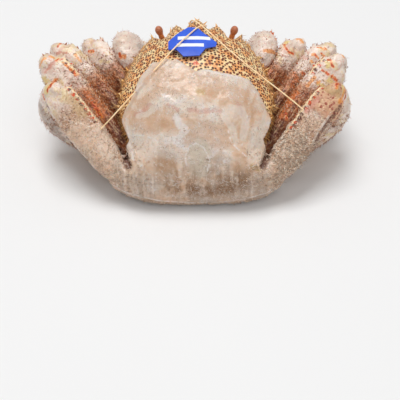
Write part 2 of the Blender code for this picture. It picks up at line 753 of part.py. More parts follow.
def section(objs, origin, along, upward):
    """Where the plane of two directions at right angles meets the meshes: distances along the one and the other."""
    normal = along.cross(upward)
    found = []
    for obj in objs:
        coords = [v.co for v in obj.data.vertices]
        sides = [(p - origin).dot(normal) for p in coords]
        for edge in obj.data.edges:
            a, b = edge.vertices
            if (sides[a] < 0) != (sides[b] < 0):
                t = sides[a] / (sides[a] - sides[b])
                p = coords[a].lerp(coords[b], t)
                found.append(Vector(((p - origin).dot(along), (p - origin).dot(upward))))
    return found


def hull_outline(points, offset):
    """The convex hull of points in a plane, moved out by an offset, running anticlockwise."""
    hull = [points[i] for i in geometry.convex_hull_2d(points)]
    area = sum(a.x * b.y - b.x * a.y for a, b in zip(hull, hull[1:] + hull[:1]))
    if area < 0:
        hull.reverse()
    made = []
    count = len(hull)
    for i in range(count):
        before, here, after = hull[i - 1], hull[i], hull[(i + 1) % count]
        normals = [Vector((e.y, -e.x)).normalized() for e in (here - before, after - here)]
        middle = (normals[0] + normals[1]).normalized()
        made += [here + normals[0] * offset, here + middle * offset, here + normals[1] * offset]
    return made


def strand(objs, start, end, third, beneath, offset):
    """The band's way round the meshes in the plane of three points, over the top from start to end or beneath."""
    along = (end - start).normalized()
    upward = third - start
    upward = (upward - along * upward.dot(along)).normalized()
    outline = hull_outline(section(objs, start, along, upward), offset)
    ends = (Vector((0.0, 0.0)), Vector(((end - start).length, 0.0)))
    first, last = (min(range(len(outline)), key=lambda i: (outline[i] - p).length) for p in ends)
    ways = []
    for step in (1, -1):
        count = (step * (last - first)) % len(outline)
        ways.append([outline[(first + step * k) % len(outline)] for k in range(count + 1)])
    ways.sort(key=lambda way: sum(p.y for p in way) / len(way))
    return [start + along * p.x + upward * p.y for p in (ways[0] if beneath else ways[1])]


def resampled(points, count):
    """The same closed line as that many points, evenly far apart."""
    lengths = [0.0]
    for a, b in zip(points, points[1:] + points[:1]):
        lengths.append(lengths[-1] + (b - a).length)
    made, i = [], 0
    for k in range(count):
        target = lengths[-1] * k / count
        while lengths[i + 1] < target:
            i += 1
        share = (target - lengths[i]) / max(lengths[i + 1] - lengths[i], 1e-12)
        made.append(points[i].lerp(points[(i + 1) % len(points)], share))
    return made


BAND_POINTS = 64
# Where the band's two upper strands start at the front and end on the hindmost legs, right side crossing first.
BAND_FRONT = [(-7.0, 70.0, 98.0), (8.0, 70.0, 98.0)]
BAND_REAR = [(87.5, -15.0, 69.0), (-77.0, -26.0, 59.0)]
# The upper strands lie in planes through this point, the lower ones in upright planes.
BAND_APEX = (2.0, -497.0, 443.0)


def make_band(model):
    """The round band stretched over the back and beneath the legs, one strand crossing over the other."""
    fronts, rears = [at(*p) for p in BAND_FRONT], [at(*p) for p in BAND_REAR]
    offset = (BAND_RADIUS + 0.5) * MM
    objs, apex, high = model.nodes, at(*BAND_APEX), at(0, 0, 900)
    line = strand(objs, fronts[0], rears[0], apex, False, offset)
    line += strand(objs, rears[0], fronts[1], rears[0] + high, True, offset)
    line += strand(objs, fronts[1], rears[1], apex, False, offset)
    line += strand(objs, rears[1], fronts[0], rears[1] + high, True, offset)
    points = resampled(line, BAND_POINTS)
    vertices, polygons = [], []
    for obj in objs:
        first = len(vertices)
        vertices += [v.co for v in obj.data.vertices]
        polygons += [[first + i for i in p.vertices] for p in obj.data.polygons]
    tree = BVHTree.FromPolygons(vertices, polygons)
    clear = (BAND_RADIUS + 0.45) * MM
    for turn_number in range(60):
        pull = 0.12 if turn_number < 30 else 0.01
        for i, point in enumerate(points):
            points[i] = point.lerp((points[i - 1] + points[(i + 1) % BAND_POINTS]) / 2, pull)
        for i in range(BAND_POINTS):
            for step in range(8):
                share = step / 8
                following = points[(i + 1) % BAND_POINTS]
                here = points[i].lerp(following, share)
                near, normal, _, distance = tree.find_nearest(here)
                if distance < clear:
                    away = (here - near).normalized()
                    push = away * (clear - distance) if away.dot(normal) > -0.2 else normal * (clear + distance)
                    points[i] += push * (1.0 - share)
                    following += push * share
            points[i].z = max(points[i].z, (BAND_RADIUS + 0.35) * MM)
    over = [i for i in range(BAND_POINTS) if points[i].z > 60 * MM]
    best = min(
        ((i, j) for i in over for j in over if 12 < abs(i - j) < BAND_POINTS - 12),
        key=lambda pair: (points[pair[0]].xy - points[pair[1]].xy).length,
    )
    for k in range(-4, 5):
        rise = 2.5 * math.exp(-(k / 1.9) ** 2)
        points[(best[0] + k) % BAND_POINTS].z += rise * MM
    rings = []
    for i, point in enumerate(points):
        forward = (points[(i + 1) % BAND_POINTS] - points[i - 1]).normalized()
        out = point - at(0, 10, 50)
        out = (out - forward * out.dot(forward)).normalized()
        across = forward.cross(out)
        rings.append([
            point + (out * math.cos(a) + across * math.sin(a)) * BAND_RADIUS * MM
            for a in (2 * math.pi * k / 6 for k in range(6))
        ])
    corners_of_rings = [p for ring in rings for p in ring]
    faces = []
    for i in range(BAND_POINTS):
        n = (i + 1) % BAND_POINTS
        for k in range(6):
            m = (k + 1) % 6
            faces.append((i * 6 + k, i * 6 + m, n * 6 + m, n * 6 + k))
    return mesh_object("band", corners_of_rings, faces, "band")


def stand_on_floor(objs):
    """Cuts everything off at the level of the floor, which leaves small flats to stand on."""
    for obj in objs:
        low, high = corners(obj)
        if low.z < 0.0:
            x, y = (low.x + high.x) / 2, (low.y + high.y) / 2
            bpy.ops.mesh.primitive_cube_add(size=0.4, location=(x, y, -0.2))
            combine(obj, [bpy.context.object], "DIFFERENCE")


def centre_all(objs):
    """Moves the whole model so that the middle of its box's underside is the origin."""
    boxes = [corners(obj) for obj in objs]
    low = Vector([min(box[0][i] for box in boxes) for i in range(3)])
    high = Vector([max(box[1][i] for box in boxes) for i in range(3)])
    shift = Vector((-(low.x + high.x) / 2, -(low.y + high.y) / 2, -low.z))
    for obj in objs:
        obj.data.transform(Matrix.Translation(shift))
    print("SHIFT", [round(c / MM, 2) for c in shift], "SIZE", [round(c / MM, 1) for c in high - low])


def main():
    """Builds every node in place."""
    clear_scene()
    rng = random.Random(20)
    model = Model()
    carapace = model.place(make_carapace())
    model.place(make_thorax())
    model.place(make_abdomen())
    for letter in SIDES:
        for number in ("5", "4", "3", "2"):
            make_leg(model, number, letter, rng)
        make_claw(model, letter, rng)
    for letter, side in SIDES.items():
        for make, name in ((make_eye, "eye"), (make_feeler, "antenna"), (make_maxilliped, "maxilliped")):
            obj = make(side)
            obj.name = f"{name}_{letter}"
            model.place(obj)
    stand_on_floor(model.nodes)
    model.place(make_tag())
    keep_largest(model.place(make_glaze(model, carapace)), 4.6)
    model.nodes.append(make_band(model))
    for obj in model.nodes:
        for polygon in obj.data.polygons:
            polygon.use_smooth = False
    centre_all(model.nodes)
    print("NODES", len(model.nodes), "TRIANGLES", sum(len(o.data.polygons) for o in model.nodes))


main()
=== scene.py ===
"""Looks of a frozen horsehair crab: shell, legs, coat, ice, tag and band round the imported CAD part."""

from __future__ import annotations

import logging
import math
from dataclasses import dataclass, field
from enum import Enum
from typing import Any, Callable

import bpy
import numpy as np
from mathutils import Matrix, Vector


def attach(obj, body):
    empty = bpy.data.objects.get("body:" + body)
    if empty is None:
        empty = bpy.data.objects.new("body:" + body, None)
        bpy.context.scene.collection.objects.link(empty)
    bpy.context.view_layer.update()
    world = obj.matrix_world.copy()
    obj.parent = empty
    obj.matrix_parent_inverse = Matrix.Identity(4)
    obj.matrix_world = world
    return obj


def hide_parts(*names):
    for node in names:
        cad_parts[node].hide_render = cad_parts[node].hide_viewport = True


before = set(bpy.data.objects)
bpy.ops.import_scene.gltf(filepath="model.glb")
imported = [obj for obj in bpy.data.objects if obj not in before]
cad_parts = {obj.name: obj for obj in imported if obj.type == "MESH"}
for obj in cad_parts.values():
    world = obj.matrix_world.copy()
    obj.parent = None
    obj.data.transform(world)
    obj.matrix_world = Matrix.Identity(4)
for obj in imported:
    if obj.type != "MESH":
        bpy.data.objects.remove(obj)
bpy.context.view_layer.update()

log = logging.getLogger("crab")

MM = 0.001
# Points of a CAD node closer than this, in metres, are one point.
DOUBLES = 0.000002
# The floor point under the body's middle, and the body's frame: its height, its nose-up tilt and its centre.
BODY_PLACE = Vector((2.47, -21.57, 0.0))
BODY_HEIGHT = 68.0
BODY_TILT = math.radians(20.0)
BODY_MIDDLE = (BODY_PLACE + Vector((0.0, 0.0, BODY_HEIGHT))) * MM
BODY = Matrix.Translation(BODY_MIDDLE) @ Matrix.Rotation(BODY_TILT, 4, "X")
SIDES = {"R": 1.0, "L": -1.0}

Array = np.ndarray
Pair = tuple[float, float]
Triple = tuple[float, float, float]
Colour = Triple


class Slot(Enum):
    """The record's material slots."""

    SHELL = "shell"
    LEG = "leg_shell"
    BELLY = "belly"
    EYE = "eye"
    ICE = "ice"
    BAND = "band"
    TAG = "tag"


class Seed(Enum):
    """The numbers from which each coat's chance starts."""

    SPINES = 11
    FRINGE = 12
    LEGS_R = 21
    LEGS_L = 22
    CLAWS = 23
    ICE = 31
    BELLY = 41


def srgb(red: int, green: int, blue: int) -> Colour:
    """A linear colour from a screen one.

    Args:
        red: red, from 0 to 255.
        green: green, from 0 to 255.
        blue: blue, from 0 to 255.

    Returns:
        The three linear parts.
    """
    def linear(part: int) -> float:
        """One part of the colour made linear."""
        share = part / 255.0
        return share / 12.92 if share <= 0.04045 else ((share + 0.055) / 1.055) ** 2.4

    return linear(red), linear(green), linear(blue)


class Socket:
    """A number in a material's node tree that takes part in Python arithmetic."""

    def __init__(self, shade: "Shade", out: bpy.types.NodeSocket) -> None:
        """Keeps the tree's owner and the socket that gives the number."""
        self.shade = shade
        self.out = out

    def _math(self, operation: str, *others: "Socket | float") -> "Socket":
        """Adds one Math node to this and the other numbers."""
        return self.shade.add("ShaderNodeMath", {"operation": operation}, dict(enumerate((self, *others))))

    def __add__(self, other: "Socket | float") -> "Socket":
        """The sum."""
        return self._math("ADD", other)

    __radd__ = __add__

    def __mul__(self, other: "Socket | float") -> "Socket":
        """The product."""
        return self._math("MULTIPLY", other)

    __rmul__ = __mul__

    def __sub__(self, other: "Socket | float") -> "Socket":
        """The difference."""
        return self._math("SUBTRACT", other)

    def __rsub__(self, other: float) -> "Socket":
        """A plain number less this one."""
        return (self * -1.0) + other

    def least(self, other: "Socket | float") -> "Socket":
        """The smaller of the two."""
        return self._math("MINIMUM", other)

    def size(self) -> "Socket":
        """The number without its sign."""
        return self._math("ABSOLUTE")

    def wave(self) -> "Socket":
        """Its sine."""
        return self._math("SINE")

    def rise(self, low: float, high: float) -> "Socket":
        """A smooth step.

        Args:
            low: where the step starts.
            high: where it ends, below low for a falling step.

        Returns:
            0 before the step and 1 after it.
        """
        ends = {1: low, 2: high, 3: 0.0, 4: 1.0} if high >= low else {1: high, 2: low, 3: 1.0, 4: 0.0}
        return self.shade.add("ShaderNodeMapRange", {"interpolation_type": "SMOOTHSTEP"}, {0: self, **ends})


# A vein is full within this share of its width.
VEIN_CORE = 0.3


class Shade:
    """One material, with its nodes made from Python."""

    def __init__(self, name: str, roughness: float = 0.5, **constants: Any) -> None:
        """Makes the material.

        Args:
            name: the finish's name.
            roughness: how dull the surface is.
            constants: values of the shader's own sockets, spaces in their names written as underscores.
        """
        self.material = bpy.data.materials.new(name)
        self.material.use_nodes = True
        self.tree = self.material.node_tree
        self.shader = self.tree.nodes["Principled BSDF"]
        self.shader.inputs["Roughness"].default_value = roughness
        for key, value in constants.items():
            self.shader.inputs[key.replace("_", " ")].default_value = value
        self.place = self.add("ShaderNodeTexCoord", {}, {}, "Object")

    def add(
        self, kind: str, settings: dict[str, Any], values: dict[int | str, Any], out: int | str = 0,
    ) -> Socket:
        """Adds any node.

        Args:
            kind: the node's type.
            settings: its properties, set first. A ramp's stops are under the key "stops".
            values: numbers, colours or sockets for its inputs, by number or name.
            out: which of its outputs is wanted.

        Returns:
            That output.
        """
        node = self.tree.nodes.new(kind)
        for key, value in settings.items():
            if key == "stops":
                ramp = node.color_ramp
                while len(ramp.elements) < len(value):
                    ramp.elements.new(0.5)
                for element, (place, colour) in zip(ramp.elements, value):
                    element.position = place
                    element.color = (*colour, 1.0)
            else:
                setattr(node, key, value)
        for key, value in values.items():
            if isinstance(value, Socket):
                self.tree.links.new(value.out, node.inputs[key])
            elif isinstance(value, tuple) and len(value) == 3 and node.inputs[key].type == "RGBA":
                node.inputs[key].default_value = (*value, 1.0)
            else:
                node.inputs[key].default_value = value
        return Socket(self, node.outputs[out])

    def grain(
        self, scale: float, detail: float = 2.0, warp: float = 0.0, rough: float = 0.5,
        place: Socket | None = None,
    ) -> Socket:
        """Cloudy noise.

        Args:
            scale: waves a metre.
            detail: how many finer layers it has.
            warp: how far it is distorted.
            rough: how strong the finer layers are.
            place: the place to read it at, where that is stretched.

        Returns:
            A number round 0.5.
        """
        values = {"Vector": place or self.place, "Scale": scale, "Detail": detail, "Distortion": warp}
        return self.add("ShaderNodeTexNoise", {"noise_dimensions": "3D"}, {**values, "Roughness": rough})

    def veins(self, scale: float, warp: float, width: float) -> Socket:
        """Thin wandering lines, 1 on the line, where cloudy noise crosses its middle."""
        return (self.grain(scale, 2.0, warp) - 0.5).size().rise(width, width * VEIN_CORE)

    def stretched(self, scale: Triple) -> Socket:
        """The place with each coordinate scaled, which draws a pattern out into streaks."""
        return self.add("ShaderNodeMapping", {"vector_type": "POINT"}, {"Vector": self.place, "Scale": scale})

    def cells(self, scale: float, place: Socket | None = None) -> Socket:
        """The distance to the nearest middle of a pattern of so many cells a metre, in cells."""
        values = {"Vector": place or self.place, "Scale": scale}
        return self.add("ShaderNodeTexVoronoi", {"feature": "F1"}, values, "Distance")

    def warped(self, scale: float, amount: float) -> Socket:
        """The place moved about by noise.

        Args:
            scale: waves a metre.
            amount: how far it is moved, in metres.

        Returns:
            The moved place.
        """
        cloud = self.add(
            "ShaderNodeTexNoise", {"noise_dimensions": "3D"},
            {"Vector": self.place, "Scale": scale, "Detail": 2.0}, "Color",
        )
        centred = self.add("ShaderNodeVectorMath", {"operation": "SUBTRACT"}, {0: cloud, 1: (0.5, 0.5, 0.5)})
        moved = self.add("ShaderNodeVectorMath", {"operation": "SCALE"}, {0: centred, "Scale": amount})
        return self.add("ShaderNodeVectorMath", {"operation": "ADD"}, {0: self.place, 1: moved})

    def body_part(self, axis: int) -> Socket:
        """One coordinate in the body's own frame.

        Args:
            axis: 0, 1 or 2 for x, y or z.

        Returns:
            The coordinate in metres.
        """
        turned = {"Location": tuple(BODY.translation), "Rotation": (BODY_TILT, 0.0, 0.0)}
        place = self.add("ShaderNodeMapping", {"vector_type": "TEXTURE"}, {"Vector": self.place, **turned})
        return self.part(axis, place)

    def field(self, name: str) -> Socket:
        """A number that the mesh carries at its points."""
        return self.add("ShaderNodeAttribute", {"attribute_name": name}, {}, "Fac")

    def part(self, axis: int, place: Socket | None = None) -> Socket:
        """One coordinate of a place.

        Args:
            axis: 0, 1 or 2 for x, y or z.
            place: the place, the surface's own where it is left out.

        Returns:
            The coordinate in metres.
        """
        return self.add("ShaderNodeSeparateXYZ", {}, {0: place or self.place}, axis)

    def mix(self, share: Socket | float, first: Socket | Colour, second: Socket | Colour) -> Socket:
        """A mixture of two colours.

        Args:
            share: how much of the second there is.
            first: the colour at 0.
            second: the colour at 1.

        Returns:
            The mixed colour.
        """
        return self.add("ShaderNodeMix", {"data_type": "RGBA"}, {0: share, 6: first, 7: second}, 2)

    def ramp(self, share: Socket, *stops: tuple[float, Colour]) -> Socket:
        """A colour read from a row of stops.

        Args:
            share: the number that is looked up.
            stops: places and colours.

        Returns:
            The colour.
        """
        return self.add("ShaderNodeValToRGB", {"stops": stops}, {0: share})

    def set(self, name: str, value: Socket) -> None:
        """Links a socket of the shader."""
        self.tree.links.new(value.out, self.shader.inputs[name])

    def bump(self, height: Socket, depth: float, strength: float = 1.0) -> None:
        """Adds relief that light sees.

        Args:
            height: the relief, 0 to 1.
            depth: how deep that is, in metres.
            strength: how much of it shows.
        """
        values = {"Height": height, "Distance": depth, "Strength": strength}
        self.set("Normal", self.add("ShaderNodeBump", {}, values))

    def dressed(self, colour: Socket, roughness: Socket) -> bpy.types.Material:
        """Links the colour and the dullness.

        Args:
            colour: the surface's colour.
            roughness: how dull it is.

        Returns:
            The finished material.
        """
        self.set("Base Color", colour)
        self.set("Roughness", roughness)
        return self.material


@dataclass(frozen=True)
class ShellFinish:
    """The bare shell: a pale net between dark pits, redder marks, a yellow margin and painted shade on its
    lower flank.
    """

    net: Colour = srgb(255, 228, 172)
    tan: Colour = srgb(244, 172, 106)
    pit: Colour = srgb(46, 14, 8)
    red_pit: Colour = srgb(116, 38, 18)
    rim: Colour = srgb(182, 92, 50)
    spot: Colour = srgb(232, 78, 20)
    gold: Colour = srgb(246, 204, 134)
    # deep is a painted shade for the lower flank, where the shell meets the legs.
    deep: Colour = srgb(88, 42, 20)
    # Millimetres from pit to pit, how far they stray from even rows, and the least and the largest radius.
    spacing: float = 3.2
    disorder: float = 0.7
    radius: Pair = (0.62, 1.12)
    # Each finish gives the depth of its relief in metres.
    relief: float = 0.0008

    def build(self) -> bpy.types.Material:
        """Makes the material.

        Returns:
            The material.
        """
        shade = Shade("bare_shell", 0.45, Coat_Weight=0.25, Coat_Roughness=0.25)
        fine = shade.grain(900.0, 3.0)
        flat = shade.add("ShaderNodeCombineXYZ", {}, {0: shade.field("across"), 1: shade.field("ahead")})
        kind = {"voronoi_dimensions": "2D", "feature": "F1"}
        place = {"Vector": flat, "Scale": 1.0 / self.spacing, "Randomness": self.disorder}
        chance = shade.part(0, shade.add("ShaderNodeTexVoronoi", kind, place, "Color"))
        least, most = self.radius
        off = shade.add("ShaderNodeTexVoronoi", kind, place, "Distance") * self.spacing
        off = off - (chance * (most - least) + least) + (shade.grain(700.0, 2.0) - 0.5) * 0.3
        base = shade.mix(shade.grain(190.0, 3.0).rise(0.42, 0.60), self.net, self.tan)
        base = shade.mix(fine.rise(0.52, 0.75) * 0.3, base, self.rim)
        base = shade.mix(shade.field("rim") * shade.grain(240.0).rise(0.35, 0.6), base, self.gold)
        base = shade.mix(off.rise(0.65, 0.10) * 0.7, base, self.rim)
        hollow = shade.mix(chance.rise(0.60, 0.62), self.pit, self.red_pit)
        base = shade.mix(off.rise(0.08, -0.06), base, hollow)
        drawn = shade.field("spot")
        spot = (drawn + (fine - 0.5) * drawn.rise(0.0, 0.5) * 1.6).rise(0.35, 0.8)
        base = shade.mix(spot * 0.9, base, self.spot)
        # Painted shade: the lower flank darkens towards the legs.
        base = shade.mix(shade.field("low").rise(0.08, 0.6) * 0.92, base, self.deep)
        shade.bump(off.rise(-0.1, 0.5) + fine * 0.3, self.relief, 0.8)
        return shade.dressed(base, fine * 0.3 + 0.32)


@dataclass(frozen=True)
class IceFinish:
    """Wax-like ice with shell colours showing through, marked with patches, streaks, thin lines and painted
    shade.
    """

    tan: Colour = srgb(208, 166, 132)
    warm: Colour = srgb(222, 188, 160)
    beige: Colour = srgb(230, 204, 182)
    pale: Colour = srgb(234, 216, 200)
    white: Colour = srgb(240, 230, 224)
    rose: Colour = srgb(210, 156, 138)
    olive: Colour = srgb(200, 168, 110)
    grey: Colour = srgb(214, 198, 178)
    # dark paints the shade on the lower rear and also marks the thin dark lines.
    dark: Colour = srgb(140, 98, 58)
    crust: Colour = srgb(210, 156, 114)
    high_crust: Colour = srgb(242, 208, 178)
    # deep paints the shade in the clefts beside the shell.
    deep: Colour = srgb(98, 46, 20)
    # The marks by colour, in the order in which they lie: how strong each is and where its edge ends.
    marks: tuple[tuple[str, float, float], ...] = (
        ("tan", 0.6, 0.7), ("olive", 0.6, 0.9), ("rose", 0.6, 0.9), ("pale", 0.7, 0.6), ("grey", 0.9, 0.5),
        ("white", 0.7, 0.7),
    )
    relief: float = 0.0012

    def build(self) -> bpy.types.Material:
        """Makes the material.

        Returns:
            The material.
        """
        shade = Shade(
            "ice_crust", 0.36, Coat_Weight=0.35, Coat_Roughness=0.2, Subsurface_Weight=0.1,
            Subsurface_Scale=0.003,
        )
        low, leg = shade.field("low"), shade.field("leg")
        clouds = shade.grain(24.0, 3.0, 0.8)
        patches = shade.grain(50.0, 3.0, 2.2, 0.45)
        fine = shade.grain(380.0, 4.0, 0.8)
        ragged = (shade.grain(130.0, 4.0, 2.0) - 0.5) * 1.5 + (fine - 0.5) * 0.5
        tone = clouds * 0.55 + patches * 0.45 + (fine - 0.5) * 0.03
        base = shade.ramp(
            tone, (0.34, self.tan), (0.42, self.warm), (0.49, self.beige), (0.59, self.pale),
            (0.69, self.white),
        )
        for name, strength, end in self.marks:
            drawn = shade.field(name)
            mark = (drawn + ragged * drawn.rise(0.0, 0.4) * end).rise(end * 0.5 - 0.1, end)
            base = shade.mix(mark * strength, base, getattr(self, name))
        streaks = shade.grain(170.0, 3.0, 0.5, 0.5, shade.stretched((1.0, 0.2, 0.2)))
        # Painted shade on the lower rear and along the dark streaks.
        shadow = low * 0.6 + shade.field("dark").rise(0.0, 0.9) * 0.45
        shadow = shadow * (streaks * 0.8 + clouds * 0.4 + ragged * 0.3).rise(0.36, 0.70)
        base = shade.mix(shadow, base, self.dark)
        ground = shade.mix((fine * 0.6 + patches * 0.4).rise(0.42, 0.60), self.crust, self.high_crust)
        ground = shade.mix(shade.grain(48.0, 3.0, 1.5).rise(0.53, 0.62) * 0.55, ground, self.grey)
        base = shade.mix(leg * (patches + fine * 0.4).rise(0.50, 0.85) * 0.95, base, ground)
        light = shade.veins(70.0, 2.6, 0.018) * patches.rise(0.44, 0.54)
        light = light + shade.veins(120.0, 3.0, 0.016) * clouds.rise(0.46, 0.54) * fine.rise(0.40, 0.50)
        threads = shade.veins(190.0, 2.0, 0.02) * fine.rise(0.50, 0.58)
        base = shade.mix((light + threads) * 0.6, base, self.white)
        dark = shade.veins(110.0, 3.2, 0.018) * clouds.rise(0.46, 0.54) * fine.rise(0.44, 0.52)
        dark = dark + leg * shade.veins(260.0, 2.4, 0.03) * fine.rise(0.44, 0.54) * 0.8
        base = shade.mix(dark.least(1.0) * 0.7, base, self.dark)
        # Painted shade in the clefts.
        base = shade.mix((shade.field("cleft") + (fine - 0.5) * 0.9).rise(0.1, 0.75) * 0.9, base, self.deep)
        # Thin white lines; the one along the lower outline is a painted highlight.
        base = shade.mix(shade.field("line").rise(0.3, 0.9) * fine.rise(0.40, 0.52) * 0.8, base, self.white)
        base = shade.mix(shade.field("rim") * fine.rise(0.35, 0.55) * 0.8, base, self.white)
        base = shade.mix(shade.field("edge") * fine.rise(0.35, 0.6) * 0.6, base, self.white)
        shade.set("Alpha", 1.0 - shade.field("thin") * (patches + fine * 0.3).rise(0.80, 0.50) * 0.8)
        height = shade.grain(70.0, 2.0, 1.2) + fine * 0.08 + light * 0.3 + shade.veins(190.0, 2.0, 0.03) * 0.1
        shade.bump(height, self.relief, 0.55)
        return shade.dressed(base, fine * 0.25 + 0.24)


@dataclass(frozen=True)
class LegFinish:
    """Leg shell: brown under its bristles, frosted towards the knees, stained red, amber and yellow, with
    painted shade.
    """

    brown: Colour = srgb(180, 90, 38)
    rust: Colour = srgb(216, 118, 54)
    # deep is painted shade towards the body.
    deep: Colour = srgb(100, 36, 8)
    # umber marks real dark streaks and also paints the shadow in gaps between the leg's pieces.
    umber: Colour = srgb(98, 46, 22)
    sand: Colour = srgb(212, 164, 130)
    tan: Colour = srgb(206, 162, 134)
    # A grey painted shade for the shaded outer strip of the left hindmost leg.
    ash: Colour = srgb(178, 158, 146)
    ridge: Colour = srgb(255, 228, 186)
    olive: Colour = srgb(202, 166, 116)
    cream: Colour = srgb(250, 214, 166)
    frost: Colour = srgb(246, 230, 216)
    grey: Colour = srgb(222, 200, 184)
    low_crust: Colour = srgb(190, 146, 114)
    high_crust: Colour = srgb(226, 194, 166)
    red: Colour = srgb(216, 76, 22)
    amber: Colour = srgb(242, 154, 62)
    rose: Colour = srgb(214, 150, 130)
    maroon: Colour = srgb(158, 54, 34)
    yellow: Colour = srgb(234, 208, 128)
    belly: Colour = srgb(222, 190, 156)
    # The stains by colour, in the order in which they lie. The ash-grey ones and the umber ones are painted
    # shade.
    stains: tuple[str, ...] = ("ash", "olive", "yellow", "rose", "rust", "umber", "amber", "red", "line")
    # The pattern of the streaks under the bristles is this dense along the leg, as a share of across it.
    streak: float = 0.25
    relief: float = 0.0012

    def build(self) -> bpy.types.Material:
        """Makes the material, streaked along the limb by the numbers that each skin carries.

        Returns:
            The material.
        """
        shade = Shade(
            "leg_shell", 0.45, Coat_Weight=0.2, Coat_Roughness=0.2, Subsurface_Weight=0.05,
            Subsurface_Scale=0.003,
        )
        clouds = shade.grain(70.0, 4.0, 0.8)
        fine = shade.grain(420.0, 4.0, 0.5)
        blots = shade.grain(230.0, 3.0, 1.2)
        dots = shade.field("dots")
        base = shade.mix(clouds.rise(0.36, 0.66), self.brown, self.rust)
        length, across = shade.field("ridge_along"), shade.field("ridge_across")
        laid = shade.add("ShaderNodeCombineXYZ", {}, {0: length * (self.streak * MM), 1: across * MM})
        streaks = shade.grain(430.0, 3.0, 0.8, 0.6, laid)
        # Painted shade, darker towards the body and on the leg's inner side.
        base = shade.mix(shade.field("deep") * (clouds * 0.6 + 0.7).least(1.0), base, self.deep)
        base = shade.mix(shade.veins(300.0, 2.6, 0.06) * fine.rise(0.40, 0.52) * 0.4, base, self.cream)
        base = shade.mix(streaks.rise(0.53, 0.62) * 0.45, base, self.cream)
        base = shade.mix(streaks.rise(0.46, 0.38) * 0.8, base, self.umber)
        sandy = shade.mix(blots.rise(0.40, 0.66) * 0.7, self.sand, self.cream)
        sandy = shade.mix(shade.veins(240.0, 2.4, 0.05) * 0.5, sandy, self.rose)
        base = shade.mix((dots + (clouds - 0.5) * dots.rise(0.0, 0.4)).rise(0.15, 0.6) * 0.9, base, sandy)
        tint = 0.5 - shade.field("claw") * 0.4
        ice = shade.mix(clouds.rise(0.40, 0.62) * (tint + 0.5), self.frost, self.grey)
        ice = shade.mix(shade.grain(100.0, 2.0, 1.0).rise(0.52, 0.64) * tint, ice, self.yellow)
        ice = shade.mix(shade.grain(85.0, 3.0, 1.4).rise(0.55, 0.66) * tint, ice, self.rose)
        ice = shade.mix(shade.veins(110.0, 1.6, 0.03) * fine.rise(0.42, 0.55) * 0.6, ice, self.rose)
        ice = shade.mix(shade.veins(160.0, 2.4, 0.03) * 0.5, ice, self.frost)
        crust = shade.mix((clouds * 0.5 + blots * 0.5).rise(0.42, 0.60), self.low_crust, self.high_crust)
        crust = shade.mix(shade.veins(240.0, 2.4, 0.065) * fine.rise(0.42, 0.55) * 0.9, crust, self.frost)
        crust = shade.mix(shade.veins(190.0, 3.0, 0.055) * blots.rise(0.42, 0.55) * 0.85, crust, self.umber)
        ice = shade.mix(shade.field("crust"), ice, crust)
        thick = shade.field("frost") * 1.7 + clouds * 0.7 + blots * 0.6 + fine * 0.3 - 1.35
        base = shade.mix(thick.rise(-0.40, 0.1) * 0.65, base, self.tan)
        cover = thick.rise(0.0, 0.40)
        base = shade.mix(cover * 0.95, base, ice)
        base = shade.mix(shade.field("under") * 0.85, base, self.belly)
        spots = shade.cells(290.0, shade.warped(160.0, 0.003)).rise(0.42, 0.24) * blots.rise(0.36, 0.5)
        base = shade.mix(spots * dots * 0.85, base, self.maroon)
        for name in self.stains:
            mark = shade.field(name)
            stain = (mark + (blots - 0.5) * mark.rise(0.0, 0.3) * 1.8).rise(0.20, 0.75)
            # The umber streaks are painted shadow in the gaps, broken up by noise.
            if name in ("umber", "line"):
                stain = mark.rise(0.1, 0.6) * (blots * 0.5 + fine * 0.5).rise(0.38, 0.52)
            if name == "red":
                base = shade.mix(stain.least(mark.rise(0.05, 0.3)) * 0.8, base, self.amber)
                stain = (mark + (blots + fine - 1.0) * mark.rise(0.0, 0.3) * 2.4).rise(0.45, 0.90)
            share = 0.65 if name == "olive" else 0.8
            base = shade.mix(stain * share, base, self.frost if name == "line" else getattr(self, name))
        core = shade.field("red") + (blots + fine - 1.0) * 2.0
        base = shade.mix(core.rise(0.85, 1.15) * 0.7, base, self.maroon)
        ridge, across = shade.field("ridge"), across + (blots - 0.5) * 2.4
        base = shade.mix(ridge * (across + 0.3).size().rise(1.9, 1.0), base, self.ridge)
        beads = (length * 1.25 + clouds * 8.0).wave()
        dashes = (across - 2.1).size().rise(1.9, 1.0) * beads.rise(-0.2, 0.3)
        dashes = dashes + (across + 1.7).size().rise(1.4, 0.7) * (beads * -1.0).rise(0.0, 0.5)
        dots_colour = shade.mix(shade.grain(170.0, 1.0).rise(0.44, 0.56), self.red, self.umber)
        base = shade.mix((dashes * ridge * fine.rise(0.34, 0.46)).least(1.0) * 0.95, base, dots_colour)
        height = shade.grain(170.0, 4.0, 0.8) + fine * 0.4 - shade.cells(420.0).rise(0.5, 0.1) * 0.4
        shade.bump(height * (1.0 - cover * 0.45), self.relief, 0.8)
        return shade.dressed(base, fine * 0.3 + 0.24)


@dataclass(frozen=True)
class BellyFinish:
    """The pale underside, tinted along its plates."""

    pale: Colour = srgb(236, 214, 184)
    tint: Colour = srgb(214, 152, 104)
    rust: Colour = srgb(170, 88, 48)
    relief: float = 0.0008

    def build(self) -> bpy.types.Material:
        """Makes the material.

        Returns:
            The material.
        """
        shade = Shade("belly", 0.5, Coat_Weight=0.15, Coat_Roughness=0.3)
        clouds = shade.grain(60.0, 4.0, 0.5)
        fine = shade.grain(600.0, 3.0)
        base = shade.mix(clouds.rise(0.42, 0.7), self.pale, self.tint)
        base = shade.mix(shade.cells(500.0).rise(0.30, 0.18) * clouds.rise(0.35, 0.6), base, self.rust)
        shade.bump(shade.grain(220.0, 4.0) + fine * 0.3, self.relief, 0.6)
        return shade.dressed(base, fine * 0.25 + 0.38)


